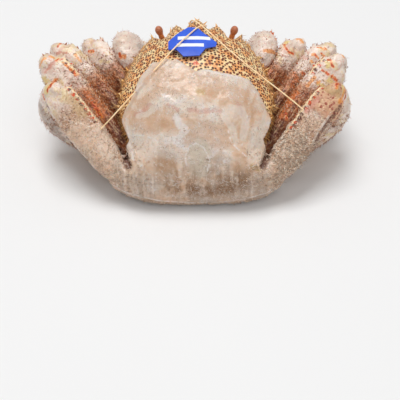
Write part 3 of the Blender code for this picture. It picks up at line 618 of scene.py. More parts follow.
@dataclass(frozen=True)
class CoatFinish:
    """Bristles, darker at the root, with a tone of their own each, painted shade deep down and pale where
    frozen.
    """

    name: str
    root: Colour
    tip: Colour
    other: Colour
    # deep is painted shade for bristles low on the shell and near the body.
    deep: Colour = srgb(72, 32, 14)
    frozen: Colour = srgb(250, 224, 196)

    def build(self) -> bpy.types.Material:
        """Makes the material.

        Returns:
            The material.
        """
        shade = Shade(self.name, 0.5)
        tone = shade.field("tone")
        base = shade.mix(shade.field("tip"), self.root, shade.mix(tone.rise(0.0, 0.8), self.tip, self.other))
        # Painted shade where the skin carries it.
        base = shade.mix(shade.field("dark") * 0.9, base, self.deep)
        base = shade.mix(tone.rise(0.92, 0.98), base, self.frozen)
        return shade.dressed(base, tone * 0.25 + 0.35)


@dataclass(frozen=True)
class EyeFinish:
    """A brown stalk that ends in a dark glossy eye."""

    stalk: Colour = srgb(240, 162, 96)
    brown: Colour = srgb(222, 142, 90)
    dark: Colour = srgb(194, 116, 78)
    relief: float = 0.0003

    def build(self) -> bpy.types.Material:
        """Makes the material.

        Returns:
            The material.
        """
        shade = Shade("eye", 0.3, Coat_Weight=0.4, Coat_Roughness=0.12)
        cloud = shade.grain(380.0, 3.0)
        up = shade.field("up")
        base = shade.mix(cloud.rise(0.35, 0.65), self.stalk, self.brown)
        base = shade.mix((up + cloud * 0.15).rise(0.55, 0.68), base, self.dark)
        shade.bump(shade.cells(1700.0) + cloud, self.relief, 0.5)
        return shade.dressed(base, 0.55 - up * 0.3)


@dataclass(frozen=True)
class TagFinish:
    """Blue plastic printed with plain pale bars."""

    blue: Colour = srgb(48, 98, 226)
    deep: Colour = srgb(40, 86, 212)
    print_colour: Colour = srgb(244, 246, 250)
    # Plain bars: middle x and y in the body's frame, and half their width and height, with their soft edge.
    bars: tuple[tuple[float, float, float, float], ...] = ((-2.0, 42.0, 13.5, 2.0), (-5.0, 33.0, 11.0, 1.8))
    soft: float = 0.3
    relief: float = 0.00015

    def build(self) -> bpy.types.Material:
        """Makes the material.

        Returns:
            The material.
        """
        shade = Shade("tag", 0.5, Coat_Weight=0.08, Coat_Roughness=0.2)
        fine = shade.grain(900.0, 2.0)
        base = shade.mix(shade.grain(60.0, 2.0).rise(0.4, 0.6), self.blue, self.deep)
        for x, y, half_wide, half_high in self.bars:
            across = (shade.body_part(0) - x * MM).size().rise((half_wide + self.soft) * MM, half_wide * MM)
            along = (shade.body_part(1) - y * MM).size().rise((half_high + self.soft) * MM, half_high * MM)
            base = shade.mix(across * along, base, self.print_colour)
        shade.bump(fine, self.relief, 0.4)
        return shade.dressed(base, fine * 0.15 + 0.45)


@dataclass(frozen=True)
class BandFinish:
    """The peach-coloured rubber band, brightened by a painted glow."""

    peach: Colour = srgb(255, 226, 182)
    shadow: Colour = srgb(250, 206, 154)
    # A painted glow that brightens the rubber by giving off light of its own colour.
    painted_glow: float = 0.12
    relief: float = 0.0001

    def build(self) -> bpy.types.Material:
        """Makes the material.

        Returns:
            The material.
        """
        shade = Shade(
            "band", 0.4, Coat_Weight=0.15, Coat_Roughness=0.3, Subsurface_Weight=0.1, Subsurface_Scale=0.001,
            Emission_Color=(*self.peach, 1.0), Emission_Strength=self.painted_glow,
        )
        cloud = shade.grain(240.0, 3.0)
        shade.bump(shade.grain(1500.0, 2.0), self.relief, 0.5)
        return shade.dressed(shade.mix(cloud.rise(0.4, 0.7), self.peach, self.shadow), cloud * 0.2 + 0.32)


@dataclass(frozen=True)
class FloorFinish:
    """The plain pale floor."""

    white: Colour = (0.86, 0.86, 0.86)
    cloud: Colour = (0.875, 0.875, 0.875)

    def build(self) -> bpy.types.Material:
        """Makes the material.

        Returns:
            The material.
        """
        shade = Shade("floor", 0.7)
        shade.set("Base Color", shade.mix(shade.grain(4.0, 2.0), self.white, self.cloud))
        return shade.material


def pick(*pieces: bpy.types.Object) -> None:
    """Leaves only these pieces selected.

    Args:
        pieces: the pieces, of which the last becomes the active one.
    """
    bpy.ops.object.select_all(action="DESELECT")
    for piece in pieces:
        piece.select_set(True)
    bpy.context.view_layer.objects.active = pieces[-1]


def modify(obj: bpy.types.Object, kind: str, **settings: Any) -> None:
    """Adds a modifier and applies it.

    Args:
        obj: the piece.
        kind: the modifier's type.
        settings: its properties.
    """
    pick(obj)
    modifier = obj.modifiers.new(kind.title(), kind)
    for key, value in settings.items():
        setattr(modifier, key, value)
    bpy.ops.object.modifier_apply(modifier=modifier.name)


def cut(obj: bpy.types.Object, *planes: tuple[Vector, Vector]) -> None:
    """Cuts parts off a piece and closes it again.

    Args:
        obj: the piece.
        planes: for each cut a place on it and the direction of what goes.
    """
    pick(obj)
    bpy.ops.object.mode_set(mode="EDIT")
    for place, away in planes:
        bpy.ops.mesh.select_all(action="SELECT")
        bpy.ops.mesh.bisect(plane_co=place, plane_no=away, use_fill=True, clear_outer=True)
    bpy.ops.object.mode_set(mode="OBJECT")


def copy_of(name: str, *nodes: str) -> bpy.types.Object:
    """Copies CAD nodes into one new piece.

    Args:
        name: the new piece's name.
        nodes: the nodes' names.

    Returns:
        The piece, with its doubled points merged.
    """
    copies = []
    for node in nodes:
        made = bpy.data.objects.new(name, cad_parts[node].data.copy())
        made.data.materials.clear()
        bpy.context.scene.collection.objects.link(made)
        copies.append(made)
    piece = copies[0]
    pick(*copies[1:], piece)
    if len(copies) > 1:
        bpy.ops.object.join()
    piece.name = piece.data.name = name
    pick(piece)
    if piece.data.has_custom_normals:
        bpy.ops.mesh.customdata_custom_splitnormals_clear()
    bpy.ops.object.mode_set(mode="EDIT")
    bpy.ops.mesh.select_all(action="SELECT")
    bpy.ops.mesh.remove_doubles(threshold=DOUBLES)
    bpy.ops.object.mode_set(mode="OBJECT")
    for layer in list(piece.data.uv_layers):
        piece.data.uv_layers.remove(layer)
    return piece


def roughen(obj: bpy.types.Object, lumps: tuple[Pair, ...]) -> None:
    """Moves a surface in and out by clouds.

    Args:
        obj: the piece.
        lumps: for each sort of cloud its width and how far the surface moves in all, in millimetres.
    """
    for size, depth in lumps:
        clouds = bpy.data.textures.new("clouds", "CLOUDS")
        clouds.noise_scale = size * MM
        clouds.noise_depth = 2
        modify(obj, "DISPLACE", texture=clouds, strength=depth * MM, mid_level=0.5, texture_coords="LOCAL")


def remeshed(obj: bpy.types.Object, voxel: float, rounds: int) -> None:
    """Turns a piece into one even skin.

    Args:
        obj: the piece.
        voxel: the size of its new faces, in millimetres.
        rounds: how many times it is smoothed.
    """
    modify(obj, "REMESH", mode="VOXEL", voxel_size=voxel * MM, use_smooth_shade=True)
    modify(obj, "SMOOTH", factor=0.5, iterations=rounds)


def points_of(obj: bpy.types.Object, what: str = "co") -> Array:
    """A piece's points as an array.

    Args:
        obj: the piece.
        what: co for their places, normal for the directions that they face.

    Returns:
        Three numbers for each point.
    """
    flat = np.empty(len(obj.data.vertices) * 3, np.float32)
    obj.data.vertices.foreach_get(what, flat)
    return flat.reshape(-1, 3).astype(float)


def move(obj: bpy.types.Object, points: Array) -> None:
    """Moves a piece's points to new places."""
    obj.data.vertices.foreach_set("co", points.astype(np.float32).ravel())
    obj.data.update()


def carry(obj: bpy.types.Object, fields: dict[str, Array]) -> None:
    """Stores numbers at each point of a piece.

    Args:
        obj: the piece.
        fields: the numbers by name.
    """
    for name, values in fields.items():
        layer = obj.data.attributes.new(name, "FLOAT", "POINT")
        layer.data.foreach_set("value", np.asarray(values, np.float32))


def carried(obj: bpy.types.Object, name: str) -> Array:
    """The numbers that a piece carries under a name.

    Args:
        obj: the piece.
        name: their name.

    Returns:
        One number for each point.
    """
    flat = np.empty(len(obj.data.vertices), np.float32)
    obj.data.attributes[name].data.foreach_get("value", flat)
    return flat.astype(float)


def settle(obj: bpy.types.Object, slot: Slot, finish: bpy.types.Material, *nodes: str) -> None:
    """Dresses a finished piece and fixes it to the body.

    Args:
        obj: the piece.
        slot: the record's material slot; not used.
        finish: its material.
        nodes: the CAD nodes that it stands for.
    """
    obj.data.materials.clear()
    obj.data.materials.append(finish)
    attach(obj, "root")
    if nodes:
        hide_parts(*nodes)
    faces = sum(len(p.vertices) - 2 for p in obj.data.polygons)
    log.info("%s: %d triangles", obj.name, faces)


def in_body(points: Array) -> Array:
    """Places in metres taken to the body's own frame, in millimetres."""
    turned = np.array(BODY.inverted())
    return (points @ turned[:3, :3].T + turned[:3, 3]) / MM


def on_body(x: float, y: float, z: float) -> Vector:
    """A place given in the body's frame, in millimetres, taken to the row's frame."""
    return BODY @ (Vector((x, y, z)) * MM)


def unit(vectors: Array) -> Array:
    """Vectors made one long."""
    return vectors / np.maximum(np.linalg.norm(vectors, axis=-1, keepdims=True), 1e-9)


def step(values: Array, low: float, high: float) -> Array:
    """A smooth step from 0 to 1 between two numbers, falling where the first is the higher."""
    share = np.clip((values - low) / (high - low), 0.0, 1.0)
    return share * share * (3.0 - 2.0 * share)


def hill(values: Array, middle: float, width: float) -> Array:
    """A bell of that width round a middle."""
    return np.exp(-(((values - middle) / width) ** 2))


@dataclass
class Limb:
    """The line of a leg or claw, from the body to its tip, in the row's frame."""

    joints: list[Vector]
    ups: list[Vector]

    def locate(self, points: Array) -> tuple[Array, Array]:
        """Finds where points lie along and round the limb.

        Args:
            points: places in metres.

        Returns:
            The piece's number plus the share along it, and the angle from its upper crest.
        """
        best = np.full(len(points), 1e9)
        along, angle = np.zeros(len(points)), np.zeros(len(points))
        for number, (start, end) in enumerate(zip(self.joints, self.joints[1:])):
            axis = np.array(end - start)
            length = float(np.linalg.norm(axis))
            share = np.clip((points - np.array(start)) @ axis / length**2, 0.0, 1.0)
            offset = points - np.array(start) - share[:, None] * axis
            distance = np.linalg.norm(offset, axis=1)
            up = np.array(self.ups[number])
            up = unit(up - axis * float(up @ axis) / length**2)
            side = np.cross(axis / length, up)
            near = distance < best
            best[near] = distance[near]
            along[near] = number + share[near]
            angle[near] = np.arctan2(offset @ side, offset @ up)[near]
        return along, angle

    def flow(self, points: Array) -> Array:
        """The direction towards the tip at points.

        Args:
            points: places in metres.

        Returns:
            A direction for each.
        """
        along = self.locate(points)[0]
        axes = np.array([np.array((b - a).normalized()) for a, b in zip(self.joints, self.joints[1:])])
        return axes[np.minimum(along.astype(int), len(axes) - 1)]

    def unwrap(self, points: Array) -> Array:
        """Where points lie on the limb's skin laid flat: along it, and round it."""
        along, angle = self.locate(points)
        return np.stack([along / (len(self.joints) - 1), angle / (2 * math.pi) + 0.5], axis=1)


# The back's map is seen from this place in the body's frame, in millimetres. Its upper and its lower side lie
# round these middles, with this radius.
MAP_EYE = (0.0, -4.0, -10.0)
UPPER_MIDDLE = (0.25, 0.5)
LOWER_MIDDLE = (0.75, 0.5)
MAP_RADIUS = 0.24


def dome_unwrap(points: Array) -> Array:
    """Where points lie on the back's skin laid flat, its upper side and its lower side next to each other.

    Args:
        points: places in metres.

    Returns:
        Places on the map, from 0 to 1.
    """
    away = in_body(points) - MAP_EYE
    turn = np.arctan2(away[:, 1], away[:, 0])
    steep = np.arctan2(np.hypot(away[:, 0], away[:, 1]), np.abs(away[:, 2])) / (math.pi / 2)
    flat = np.stack([np.cos(turn), np.sin(turn)], axis=1) * (steep * MAP_RADIUS)[:, None]
    return flat + np.where(away[:, 2:] > 0, [UPPER_MIDDLE], [LOWER_MIDDLE])


@dataclass(frozen=True)
class Bristle:
    """How one kind of bristle or spine is shaped and stands.

    Lengths and widths are in millimetres. The rings are shares of the length and of the width there, and the
    tip is a point. The lift is 0 for one that lies along the coat and 1 for one that stands on the skin. A
    tone of 1 is a frozen, pale one.
    """

    length: Pair
    width: float
    lift: float = 0.5
    stray: float = 0.3
    bend: float = 0.3
    droop: float = 0.0
    sides: int = 3
    rings: tuple[Pair, ...] = ((0.0, 1.0), (0.55, 0.7))
    sink: float = 0.4
    tone: Pair = (0.0, 0.85)
    # How far a curled one turns within the skin's plane, in radians.
    curl: float = 0.0

    def pattern(self) -> list[tuple[int, int, int]]:
        """The triangles of one, counted from its first point.

        Returns:
            Three points for each triangle.
        """
        n, last = self.sides, (len(self.rings) - 1) * self.sides
        faces = [(0, s + 1, s) for s in range(1, n - 1)]
        for row in range(0, last, n):
            for s in range(n):
                a, b = row + s, row + (s + 1) % n
                faces += [(a, b, b + n), (a, b + n, a + n)]
        return faces + [(last + s, last + (s + 1) % n, last + n) for s in range(n)]


# A bristle's patch is this wide on its coat's map, which is 1 wide.
PATCH = 0.003
# No bristle reaches lower than this over the floor, in millimetres.
FLOOR_GAP = 0.2
# One that leaves the skin more flatly than this is lifted by the second number.
LEAST_LIFT = 0.12
MORE_LIFT = 0.5
# How much their widths and the turns of curled ones differ, as shares.
WIDTHS = (0.75, 1.25)
TURNS = (0.7, 1.2)
# How much of a bend goes along the coat, and how much goes anywhere.
BEND_SHARE = 0.6


class Skin:
    """A finished piece read into arrays, from which a coat grows."""

    def __init__(
        self, obj: bpy.types.Object, unwrap: Callable[[Array], Array], dark: Array | None = None,
    ) -> None:
        """Reads the piece's triangles.

        Args:
            obj: the piece.
            unwrap: gives the place of points on its skin laid flat, from 0 to 1.
            dark: how much painted shade darkens the bristles at each point.
        """
        obj.data.calc_loop_triangles()
        corners = np.empty(len(obj.data.loop_triangles) * 3, np.int32)
        obj.data.loop_triangles.foreach_get("vertices", corners)
        self.corners = corners.reshape(-1, 3)
        self.points, self.normals = points_of(obj), points_of(obj, "normal")
        a, b, c = (self.points[self.corners[:, i]] for i in range(3))
        self.area = np.linalg.norm(np.cross(b - a, c - a), axis=1) / 2
        self.unwrap = unwrap
        self.dark = np.zeros(len(self.points)) if dark is None else dark

    def sample(self, weight: Array, count: int, rng: np.random.Generator) -> tuple[Array, Array, Array]:
        """Picks places on the skin.

        Args:
            weight: how densely each point of the skin is covered.
            count: how many places are wanted.
            rng: the seeded source of chance.

        Returns:
            The places, the directions that the skin faces there, and how dark it is.
        """
        chance = self.area * weight[self.corners].mean(axis=1)
        rows = rng.choice(len(chance), count, p=chance / chance.sum())
        shares = rng.dirichlet((1.0, 1.0, 1.0), count)[:, :, None]
        corners = self.corners[rows]
        normals = unit((self.normals[corners] * shares).sum(axis=1))
        return (self.points[corners] * shares).sum(axis=1), normals, self.dark[corners].mean(axis=1)


class Coat:
    """Many bristles collected into one piece, each with its patch on the map for baking."""

    def __init__(self, name: str, seed: int, cells: int = 1) -> None:
        """Starts an empty coat.

        Args:
            name: the piece's name.
            seed: the number that its chance starts from.
            cells: how many skins laid flat share its map, side by side.
        """
        self.name = name
        self.rng = np.random.default_rng(seed)
        self.cells = math.ceil(math.sqrt(cells))
        self.points: list[Array] = []
        self.faces: list[Array] = []
        self.fields: dict[str, list[Array]] = {"tone": [], "tip": [], "dark": []}
        self.flat: list[Array] = []
        self.total = 0

    def grow(
        self, skin: Skin, weight: Array, count: int, plan: Bristle, flow: Callable[[Array], Array],
        cell: int = 0,
    ) -> None:
        """Grows bristles at places picked by chance.

        Args:
            skin: what they grow on.
            weight: how densely each point of the skin is covered.
            count: how many there are.
            plan: their kind.
            flow: gives the direction in which the coat lies at places.
            cell: which cell of the map the skin has.
        """
        roots, normals, dark = skin.sample(weight, count, self.rng)
        self.plant(roots, normals, flow(roots), plan, skin.unwrap(roots), dark, cell)

    def plant(
        self, roots: Array, normals: Array, flow: Array, plan: Bristle, flat: Array, dark: Array,
        cell: int = 0,
    ) -> None:
        """Adds bristles at given places, apart from those that would reach the floor.

        Args:
            roots: where they stand.
            normals: which way the skin faces there.
            flow: which way the coat lies there.
            plan: their kind.
            flat: their places on the skin laid flat.
            dark: how dark each is.
            cell: which cell of the map the skin has.
        """
        rng, count = self.rng, len(roots)
        lying = unit(flow - normals * (flow * normals).sum(axis=1, keepdims=True))
        chance = unit(rng.normal(size=(count, 3)))
        ahead = unit(normals * plan.lift + lying * (1.0 - plan.lift) + chance * plan.stray)
        sunk = (ahead * normals).sum(axis=1) < LEAST_LIFT
        ahead[sunk] = unit(ahead[sunk] + normals[sunk] * MORE_LIFT)
        sag = lying * plan.bend * BEND_SHARE + unit(rng.normal(size=(count, 3))) * plan.bend * BEND_SHARE
        sag[:, 2] -= plan.droop
        length = rng.uniform(*plan.length, count) * MM
        width = plan.width * MM * rng.uniform(*WIDTHS, count) / 2
        side = unit(np.cross(ahead, chance + 0.01))
        other = np.cross(ahead, side)
        start = roots - normals * plan.sink * MM
        cells = np.array([cell % self.cells, cell // self.cells]) / self.cells
        home = np.clip(flat, 0.01, 0.99) / self.cells + cells
        parts, maps, tips = [], [], []
        turned = np.cross(normals, ahead) * rng.choice((-1.0, 1.0), count)[:, None]
        bow = plan.curl * rng.uniform(*TURNS, count) + 1e-4
        for share, thick in (*plan.rings, (1.0, 0.0)):
            ahead_by, aside_by = np.sin(bow * share) / bow, (1.0 - np.cos(bow * share)) / bow
            centre = start + ahead * (length * ahead_by)[:, None] + turned * (length * aside_by)[:, None]
            centre = centre + sag * (length * share**2)[:, None]
            for s in range(plan.sides if thick else 1):
                turn = 2 * math.pi * s / plan.sides
                out = side * math.cos(turn) + other * math.sin(turn)
                parts.append(centre + out * (width * thick)[:, None])
                spread = PATCH / 2 * (1.0 - share)
                maps.append(home + [math.cos(turn) * spread, math.sin(turn) * spread])
                tips.append(share)
        each = len(parts)
        points, tone = np.stack(parts, axis=1), rng.uniform(*plan.tone, count)
        kept = points[:, :, 2].min(axis=1) > FLOOR_GAP * MM
        count = int(kept.sum())
        faces = np.array(plan.pattern())[None] + (np.arange(count) * each)[:, None, None] + self.total
        self.points.append(points[kept].reshape(-1, 3))
        self.flat.append(np.stack(maps, axis=1)[kept].reshape(-1, 2))
        self.fields["tip"].append(np.tile(tips, count))
        self.fields["tone"].append(np.repeat(tone[kept], each))
        self.fields["dark"].append(np.repeat(dark[kept], each))
        self.faces.append(faces.reshape(-1, 3))
        self.total += count * each

    def build(self, slot: Slot, finish: CoatFinish) -> None:
        """Makes the piece, dressed and fixed to the body.

        Args:
            slot: the record's material slot.
            finish: its material.
        """
        mesh = bpy.data.meshes.new(self.name)
        faces = np.concatenate(self.faces)
        mesh.from_pydata(np.concatenate(self.points).tolist(), [], faces.tolist())
        flat = np.concatenate(self.flat)[faces.ravel()]
        layer = mesh.uv_layers.new(name="OFBake")
        layer.data.foreach_set("uv", flat.astype(np.float32).ravel())
        mesh.shade_smooth()
        obj = bpy.data.objects.new(self.name, mesh)
        bpy.context.scene.collection.objects.link(obj)
        carry(obj, {name: np.concatenate(values) for name, values in self.fields.items()})
        settle(obj, slot, finish.build())


# Half of the shell's edge, from the tip of the beak to the middle of the rear: x, y, z in the body's frame.
EDGE = [
    (0.0, 77.0, 6.0), (5.5, 73.0, 6.0), (10.5, 66.5, 4.5), (17.0, 70.5, 5.5), (22.5, 67.0, 4.5),
    (27.0, 59.5, 3.0), (33.5, 57.5, 2.0), (38.5, 60.5, 2.5), (44.5, 53.0, 1.0), (52.0, 42.0, 0.5),
    (58.5, 28.0, 0.0), (63.0, 12.0, 0.0), (64.5, -4.0, 0.0), (62.5, -20.0, -1.0), (57.0, -36.0, -3.0),
    (47.5, -50.0, -6.0), (33.0, -59.5, -9.0), (0.0, -63.0, -10.0),
]


@dataclass
class Viewpoint:
    """The camera, which looks down from behind the crab.

    The focus is in the view's parts, of which it is 400 wide, and the pitch in degrees. The rest is in
    millimetres.
    """

    place: Triple = (5.42, -518.95, 443.0)
    pitch: float = 45.0
    focus: float = 731.0
    frame_width: float = 400.0
    sensor: float = 36.0
    # The nearest and the farthest that it sees, in metres.
    clip: Pair = (0.01, 20.0)

    def build(self) -> None:
        """Makes the camera and hands it to the scene."""
        data = bpy.data.cameras.new("camera")
        data.sensor_width = self.sensor
        data.lens = self.focus / self.frame_width * self.sensor
        data.clip_start, data.clip_end = self.clip
        camera = bpy.data.objects.new("camera", data)
        camera.location = Vector(self.place) * MM
        camera.rotation_euler = (math.radians(self.pitch), 0.0, 0.0)
        bpy.context.scene.collection.objects.link(camera)
        bpy.context.scene.camera = camera

    def on_skin(self, across: float, down: float, piece: bpy.types.Object) -> Vector:
        """The place on a piece that shows at a point of the view.

        Args:
            across: how far from the view's left, of its 400 parts.
            down: how far from its top.
            piece: what the point lies on.

        Returns:
            The place in metres.
        """
        half = self.frame_width / 2
        ray = Vector(((across - half) / self.focus, (half - down) / self.focus, -1.0))
        ray = Matrix.Rotation(math.radians(self.pitch), 3, "X") @ ray.normalized()
        hit, place, _, _ = piece.ray_cast(Vector(self.place) * MM, ray)
        return place if hit else Vector(self.place) * MM + ray

    def nearest(self, across: float, down: float, pieces: list[bpy.types.Object]) -> Vector:
        """The place that shows at a point of the view, on the foremost of some pieces.

        Args:
            across: how far from the view's left.
            down: how far from its top.
            pieces: what it may lie on.

        Returns:
            The place in metres.
        """
        places = [self.on_skin(across, down, piece) for piece in pieces]
        return min(places, key=lambda place: (place - Vector(self.place) * MM).length)


@dataclass
class Studio:
    """The floor and the soft light, in metres and watts."""

    floor_width: float = 6.0
    # The lamps look at this place.
    aim: Triple = (0.0, 0.0, 0.05)
    sky: float = 0.36
    key_place: Triple = (-0.3, 0.45, 3.0)
    key_power: float = 58.0
    key_size: float = 1.5
    fill_place: Triple = (0.6, -1.6, 2.2)
    fill_power: float = 13.6
    fill_size: float = 2.0

    def build(self) -> None:
        """Makes the floor, the world and the lamps."""
        bpy.ops.object.select_all(action="DESELECT")
        bpy.ops.mesh.primitive_plane_add(size=self.floor_width, location=(0.0, 0.0, 0.0))
        floor = bpy.context.object
        floor.name = "floor"
        floor.data.materials.append(FloorFinish().build())
        scene = bpy.context.scene
        scene.view_settings.view_transform = "Standard"
        world = bpy.data.worlds.new("sky")
        scene.world = world
        world.use_nodes = True
        world.node_tree.nodes["Background"].inputs[0].default_value = (1.0, 1.0, 1.0, 1.0)
        world.node_tree.nodes["Background"].inputs[1].default_value = self.sky
        self.lamp("key", self.key_place, self.key_power, self.key_size)
        self.lamp("fill", self.fill_place, self.fill_power, self.fill_size)

    def lamp(self, name: str, place: Triple, power: float, size: float) -> None:
        """Adds a square lamp that looks at the crab.

        Args:
            name: the lamp's name.
            place: where it hangs.
            power: how bright it is.
            size: how wide it is.
        """
        data = bpy.data.lights.new(name, "AREA")
        data.energy, data.size = power, size
        lamp = bpy.data.objects.new(name, data)
        lamp.location = place
        lamp.rotation_euler = (Vector(place) - Vector(self.aim)).to_track_quat("Z", "Y").to_euler()
        bpy.context.scene.collection.objects.link(lamp)


@dataclass
class BackShell:
    """The bare front of the back, with its pits, grains, edge spines and fringe."""

    view: Viewpoint
    voxel: float = 0.80
    smoothing: int = 6
    lumps: tuple[Pair, ...] = ((3.0, 0.4),)
    # The red spot in the middle, by its point of the view, and its width.
    spot_place: Pair = (195.7, 63.0)
    spot_width: float = 3.0
    # The places on each stretch of the edge from which the margin's width is measured.
    edge_steps: int = 12
    # In the body's frame: what grows on the back points away from the first place, and the pits lie round the
    # second.
    growth_middle: Triple = (0.0, -4.0, 6.0)
    pit_middle: Triple = (0.0, -4.0, -14.0)
    # Spines stand this far apart on the first stretches of the edge.
    spine_gap: float = 3.6
    spine_stretches: int = 14
    grains: int = 750
    hairs: int = 3600
    long_hairs: int = 420
    spine: Bristle = Bristle(
        (3.0, 5.6), 2.1, lift=0.15, stray=0.18, bend=0.12, sides=6, sink=0.9,
        rings=((0.0, 1.0), (0.35, 0.78), (0.7, 0.42)),
    )
    grain: Bristle = Bristle(
        (0.6, 1.2), 0.8, lift=0.85, stray=0.25, bend=0.1, sides=5, rings=((0.0, 1.0), (0.55, 0.75)), sink=0.3,
    )
    fringe: Bristle = Bristle((2.6, 5.4), 0.34, lift=0.25, stray=0.42, bend=0.3, droop=0.15)
    long_fringe: Bristle = Bristle((4.5, 7.5), 0.6, lift=0.2, stray=0.3, bend=0.2, droop=0.1)

    def edge_points(self) -> Array:
        """Places along the whole edge.

        Returns:
            The places in the body's frame, in millimetres.
        """
        half = []
        for start, end in zip(EDGE, EDGE[1:]):
            a, b = np.array(start), np.array(end)
            half.append(a + (b - a) * np.linspace(0.0, 1.0, self.edge_steps, endpoint=False)[:, None])
        right = np.concatenate(half)
        return np.concatenate([right, right * [-1.0, 1.0, 1.0]])

    def outward(self, points: Array) -> Array:
        """The direction away from the middle of the back at points, a little downwards.

        Args:
            points: places in metres.

        Returns:
            A direction for each.
        """
        local = in_body(points) - self.growth_middle
        turned = unit(local * [1.0, 0.8, 0.5]) @ np.array(BODY.to_3x3()).T
        return unit(turned - [0.0, 0.0, 0.25])

    def laid_flat(self, local: Array) -> Array:
        """Points of the back laid flat round its middle, for an even pattern of pits.

        Args:
            local: places in the body's frame, in millimetres.

        Returns:
            Two numbers for each, in millimetres.
        """
        away = local - self.pit_middle
        level = np.hypot(away[:, 0], away[:, 1])
        arc = np.arctan2(level, away[:, 2]) * np.linalg.norm(away, axis=1)
        return away[:, :2] / np.maximum(level, 1e-6)[:, None] * arc[:, None]

    def build(self) -> bpy.types.Object:
        """Makes the shell and what grows on it.

        Returns:
            The shell.
        """
        shell = copy_of("back_shell", "carapace")
        remeshed(shell, self.voxel, self.smoothing)
        roughen(shell, self.lumps)
        points = points_of(shell)
        local = in_body(points)
        flat = self.laid_flat(local)
        gap = np.full(len(local), 1e9)
        for place in self.edge_points():
            gap = np.minimum(gap, np.hypot(local[:, 0] - place[0], local[:, 1] - place[1]))
        # Steps and hills along x, y and z are in the body's frame, in millimetres.
        rim = step(gap, 7.0, 1.0) * step(local[:, 2], -9.0, -3.0)
        # low marks the lower flank, which the finish darkens with painted shade.
        low = step(local[:, 2], -1.5, -8.0)
        spot_place = np.array(self.view.on_skin(*self.spot_place, shell))
        spot = hill(np.linalg.norm(points - spot_place, axis=1) / MM, 0.0, self.spot_width)
        carry(shell, {"across": flat[:, 0], "ahead": flat[:, 1], "rim": rim, "low": low, "spot": spot})
        settle(shell, Slot.SHELL, ShellFinish().build(), "carapace")
        skin = Skin(shell, dome_unwrap)
        wide = np.abs(local[:, 0])
        bare = step(local[:, 1], -6.0, 4.0) + step(wide, 50.0, 58.0) * step(local[:, 1], -34.0, -22.0)
        coat = Coat("shell_spines", Seed.SPINES.value)
        self.edge_spines(coat, shell)
        coat.grow(skin, np.clip(bare, 0, 1) * (1.0 - low), self.grains, self.grain, self.outward)
        tones = srgb(230, 160, 96), srgb(250, 216, 156), srgb(244, 196, 104)
        coat.build(Slot.SHELL, CoatFinish("shell_spine", *tones))
        fringe = Coat("shell_fringe", Seed.FRINGE.value)
        side = step(wide, 20.0, 44.0) * step(local[:, 1], -56.0, -44.0)
        weight = side * (rim * 0.35 + low * 0.75 * step(local[:, 2], -20.0, -12.0)) + 0.015 * rim
        # Fringe bristles on the lower flank get painted shade.
        fringe.grow(Skin(shell, dome_unwrap, low * 0.9), weight, self.hairs, self.fringe, self.outward)
        long_side = side * hill(local[:, 2], -2.0, 3.0) * step(local[:, 1], 34.0, 20.0)
        fringe.grow(skin, long_side, self.long_hairs, self.long_fringe, self.outward)
        tones = srgb(186, 116, 60), srgb(252, 212, 138), srgb(230, 166, 92)
        fringe.build(Slot.SHELL, CoatFinish("shell_bristle", *tones))
        return shell

    def edge_spines(self, coat: Coat, shell: bpy.types.Object) -> None:
        """Plants a close row of spines along both sides of the edge.

        Args:
            coat: the coat that they join.
            shell: the finished shell.
        """
        roots, normals, flows = [], [], []
        for start, end in list(zip(EDGE, EDGE[1:]))[:self.spine_stretches]:
            a, b = Vector(start), Vector(end)
            count = max(1, round((b - a).length / self.spine_gap))
            for i in range(count):
                place = a.lerp(b, (i + 0.5) / count)
                for side in SIDES.values():
                    wanted = on_body(place.x * side, place.y, place.z)
                    _, spot, normal, _ = shell.closest_point_on_mesh(wanted)
                    away = BODY.to_3x3() @ Vector((place.x * side * 1.2, place.y + 14.0, 10.0))
                    roots.append(spot)
                    normals.append(normal)
                    flows.append(away.normalized())
        places = np.array(roots)
        flat = dome_unwrap(places)
        coat.plant(places, np.array(normals), np.array(flows), self.spine, flat, np.zeros(len(places)))


# Walking legs, right side: places over the floor of base, merus root, knee, wrist, ankle and tip.
WALKING = {
    2: [(42, 18, 42), (57, 21, 46), (92, 78, 65), (90, 91, 30), (46, 84, 7), (12, 74, 13)],
    3: [(43, -2, 34), (62, 0, 40), (115, 54, 76), (109, 68, 40), (64, 57, 7), (24, 47, 14)],
    4: [(42, -25, 28), (63, -24, 35), (119, 26, 83), (117, 40, 46), (74, 30, 7), (33, 21, 15)],
    5: [(38, -46, 22), (65, -51, 28), (114, -6, 77), (126, 7, 38), (86, 0, 7), (42, -7, 16)],
}
HINDMOST = 5
# How much further out the left limbs reach at some of their joints.
SPREAD = {2: {2: 1.05, 3: 1.05}, 3: {2: 1.05, 3: 1.05}, 4: {2: 1.05, 3: 1.05}, 5: {2: 1.025, 3: 1.03}}
CLAW_SPREAD = {1: 1.05, 2: 1.05}
# Which way each long piece's spiny crest points, halfway along it.
CREST = {2: (-0.62, 0.0, 0.77), 3: (-0.67, 0.17, 0.70), 4: (-0.70, 0.30, 0.62), 5: (-0.72, 0.44, 0.52)}
# Claws, right side: places over the floor of base, elbow, wrist, root of the fingers and their tips.
CLAW = [(46, 37, 50), (63, 68, 73), (53, 89, 58), (27, 95, 32), (12, 88, 9)]


